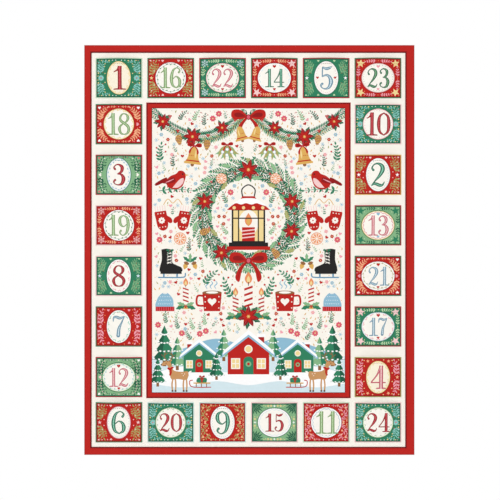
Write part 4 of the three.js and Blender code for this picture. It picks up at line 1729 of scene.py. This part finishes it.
calendar_left, calendar_right = border["left"][0][0], border["right"][1][0]
calendar_low, calendar_top = border["bottom"][0][2], border["top"][1][2]
front_face, back_face = border["left"][0][1], border["left"][1][1]
seat = 2.2
binding_rows = stitch_box(calendar_left + left_leg - seat, calendar_low + bottom_leg - seat,
                          calendar_right - right_leg + seat, calendar_top - top_leg + seat)
stitches("binding_stitches", binding_rows, lambda x, z: np.full(len(x), front_face + 0.1), "brick")
stitches("binding_stitches_behind", binding_rows, lambda x, z: np.full(len(x), back_face - 0.25),
         "brick", 1, 0.16)
ditch = 2.5
quilt_rows = stitch_box(picture_left - ditch, picture_bottom - ditch,
                        picture_right + ditch, picture_top + ditch)
stitches("quilting_stitches", quilt_rows, panel_front, "cream")
stitches("quilting_stitches_behind", quilt_rows, backing_rear, "cream", 1)


# Hanging sleeve and rod


def sleeve():
    """A flattened tube: its front ply lies on the backing, its rear ply wraps over the rod,
    falls straight and tapers to the bottom seam. Soft folds run across it."""
    low, high = node_box("hanging_sleeve")
    wall = 0.6
    front, reach = low[1], high[1]
    top, bottom = high[2], low[2]
    face = front + 2 * wall
    seam = 6.0
    straight = -14.0

    def side(inset):
        """The rear ply's profile, inset from the outside: two parabolas in Y and Z with a
        straight and a quarter circle round the rod between them."""
        r = reach - inset
        f = face - inset
        taper = bottom + seam
        t = np.linspace(0, 1, 9)[:, None]
        bend = lambda a, b, c: (1 - t) ** 2 * a + 2 * t * (1 - t) * b + t * t * c
        a = bend(np.array([f, taper]), np.array([r, (taper + straight) / 2]), np.array([r, straight]))
        b = np.array([(r, z) for z in np.linspace(straight, 0, 5)[1:-1]])
        angle = np.linspace(0, math.pi / 2, 10)
        c = np.stack([r * np.cos(angle), r * np.sin(angle)], 1)
        d = bend(np.array([0.0, r]), np.array([f / 2, r]), np.array([f, reach + 4.0]))[1:]
        return np.concatenate([a, b, c, d])

    front_ply = lambda y, start, end: [(y, z) for z in np.linspace(start, end, 12)[1:-1]]
    outer = np.concatenate([[(front, bottom), (face, bottom)], side(0.0), [(face, top), (front, top)],
                            front_ply(front, top, bottom)])
    inner = side(wall)
    inner = np.concatenate([inner, front_ply(front + wall, inner[-1][1], inner[0][1])])
    stations = np.linspace(low[0], high[0], 90)

    def plies(section, hem):
        """The section at every station, its free part moved by folds and, within 9 mm of the
        ends, by the hem's thickness."""
        x, y, z = np.broadcast_arrays(stations[:, None], *section.T)
        free = np.clip((y - face) / 6, 0, 1)
        folds = 0.45 * ripple(x, z * 0.6, 31, 55) - 0.45
        near_end = np.minimum(x - low[0], high[0] - x) < 9
        below_rod = np.clip((-8 - z) / 8, 0, 1)
        return np.stack([x, y + free * (folds * (0.2 + 0.5 * below_rod) + hem * near_end - 0.12), z], -1)

    count = len(stations)
    a = np.arange(count * len(outer)).reshape(count, -1)
    b = a.size + np.arange(count * len(inner)).reshape(count, -1)
    wrap = lambda g: np.stack([g[:-1], g[1:], np.roll(g, -1, 1)[1:], np.roll(g, -1, 1)[:-1]],
                              -1).reshape(-1, 4)
    faces = wrap(a).tolist() + wrap(b)[:, ::-1].tolist()
    ends = []
    triangles = ring_cap(outer, inner)
    for station, order in ((0, -1), (count - 1, 1)):
        index = np.concatenate([a[station], b[station]])
        ends += [index[t[::order]].tolist() for t in triangles]
    paints = np.tile(linear("calico"), (len(faces) + len(ends), 1))
    vertices = np.concatenate([plies(outer, 0.12).reshape(-1, 3), plies(inner, 0).reshape(-1, 3)])
    piece = make("hanging_sleeve_calico", vertices, faces + ends, paints, back_cloth, sharp=60)
    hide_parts("hanging_sleeve")
    rows = np.concatenate([stitch_row((low[0] + 2, z), (high[0] - 2, z)) for z in (top - 3, bottom + 3)])
    stitches("sleeve_stitches", rows, lambda x, z: np.full(len(x), face), "cream", 1)


def ring_cap(rim, hole):
    """Triangles between an outline and a hole in it, as the places of their corners among
    the points of both: those whose middle lies in the outline and not in the hole."""
    points = np.concatenate([rim, hole])
    n, m = len(rim), len(hole)
    edges = [(k, (k + 1) % n) for k in range(n)] + [(n + k, n + (k + 1) % m) for k in range(m)]
    made = delaunay_2d_cdt([tuple(p) for p in points.tolist()], edges, [], 0, 1e-6, True)
    spots = np.array([tuple(p) for p in made[0]])
    names = np.array([origins[0] for origins in made[3]])
    faces = np.array(made[2])
    middles = spots[faces].mean(1)
    between = (crossings(rim, middles) % 2 == 1) & (crossings(hole, middles) % 2 == 0)
    return names[faces[between]]


sleeve()


def rod():
    """A round rod along X with its ends slightly rounded."""
    low, high = node_box("hanging_rod")
    radius = (high[2] - low[2]) / 2
    around, corner = 48, 1.2
    stations = [(low[0] + corner * (1 - math.cos(a)), radius - corner * (1 - math.sin(a)))
                for a in np.linspace(0, math.pi / 2, 5)]
    middle = [(x, radius) for x in np.linspace(low[0] + 12, high[0] - 12, 24)]
    ends = [(-x, r) for x, r in stations[::-1]]
    rings = [np.insert(ellipse(r, points=around), 0, x, 1) for x, r in stations + middle + ends]
    paints = np.tile(linear("tan"), (around, 1))
    piece = swept("hanging_rod_wood", np.array(rings), paints, rod_wood, body="rod")
    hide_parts("hanging_rod")


rod()


# Camera, light and floor

# The camera's place in metres: from the middle to the right, and in front of the panel
CAMERA_SIDE, CAMERA_AWAY = 0.00116, 3.349
# What the lamps are turned towards, in metres
CALENDAR_MIDDLE = (0, 0, -0.33)
# The floor's half width and its depth under the calendar, in metres
FLOOR_REACH, FLOOR_DROP = 1.5, 0.35
# The world's light on the calendar, where 1 is white
SKY_LIGHT = 0.34

scene = bpy.context.scene
scene.view_settings.view_transform = "Standard"
lens = bpy.data.cameras.new("camera")
lens.lens = 135
lens.clip_end = 20
camera = bpy.data.objects.new("camera", lens)
camera.location = (CAMERA_SIDE, panel_plane * MM - CAMERA_AWAY, (calendar_low + calendar_top) / 2 * MM)
camera.rotation_euler = (math.pi / 2, 0, 0)
scene.collection.objects.link(camera)
scene.camera = camera


def lamp(name, energy, size, place):
    """A square lamp at a place, turned towards the calendar's middle."""
    light = bpy.data.lights.new(name, "AREA")
    light.energy = energy
    light.size = size
    made = bpy.data.objects.new(name, light)
    made.location = place
    ahead = np.subtract(CALENDAR_MIDDLE, place)
    ahead /= np.linalg.norm(ahead)
    made.rotation_euler = (math.acos(-ahead[2]), 0, math.atan2(-ahead[0], ahead[1]))
    scene.collection.objects.link(made)


lamp("key", 43, 1.4, (-0.8, -2.9, 0.55))
lamp("fill", 24, 1.6, (1.0, -2.9, -0.2))
lamp("rear", 30, 1.8, (-1.2, 2.6, 0.6))

world = bpy.data.worlds.new("studio")
scene.world = world
sky = Nodes(world, "Background")
seen, glossy, through = [sky.node("ShaderNodeLightPath", output=kind + " Ray")
                         for kind in ("Is Camera", "Is Glossy", "Is Transmission")]
seen = seen.greater(glossy).greater(through)
sky.feed("Strength", seen * (1 - SKY_LIGHT) + SKY_LIGHT)
sky.shader.inputs["Color"].default_value = (1, 1, 1, 1)

floor_mesh = bpy.data.meshes.new("floor")
floor_corners = np.insert(box(-1, -1, 1, 1) * FLOOR_REACH, 2, calendar_low * MM - FLOOR_DROP, 1)
floor_mesh.from_pydata(floor_corners.tolist(), [], [(0, 1, 2, 3)])
floor_paint = Paint("floor_paint", 0.9)
floor_paint.shader.inputs["Base Color"].default_value = FLOOR_GREY
floor_mesh.materials.append(floor_paint.material)
floor = bpy.data.objects.new("floor", floor_mesh)
scene.collection.objects.link(floor)
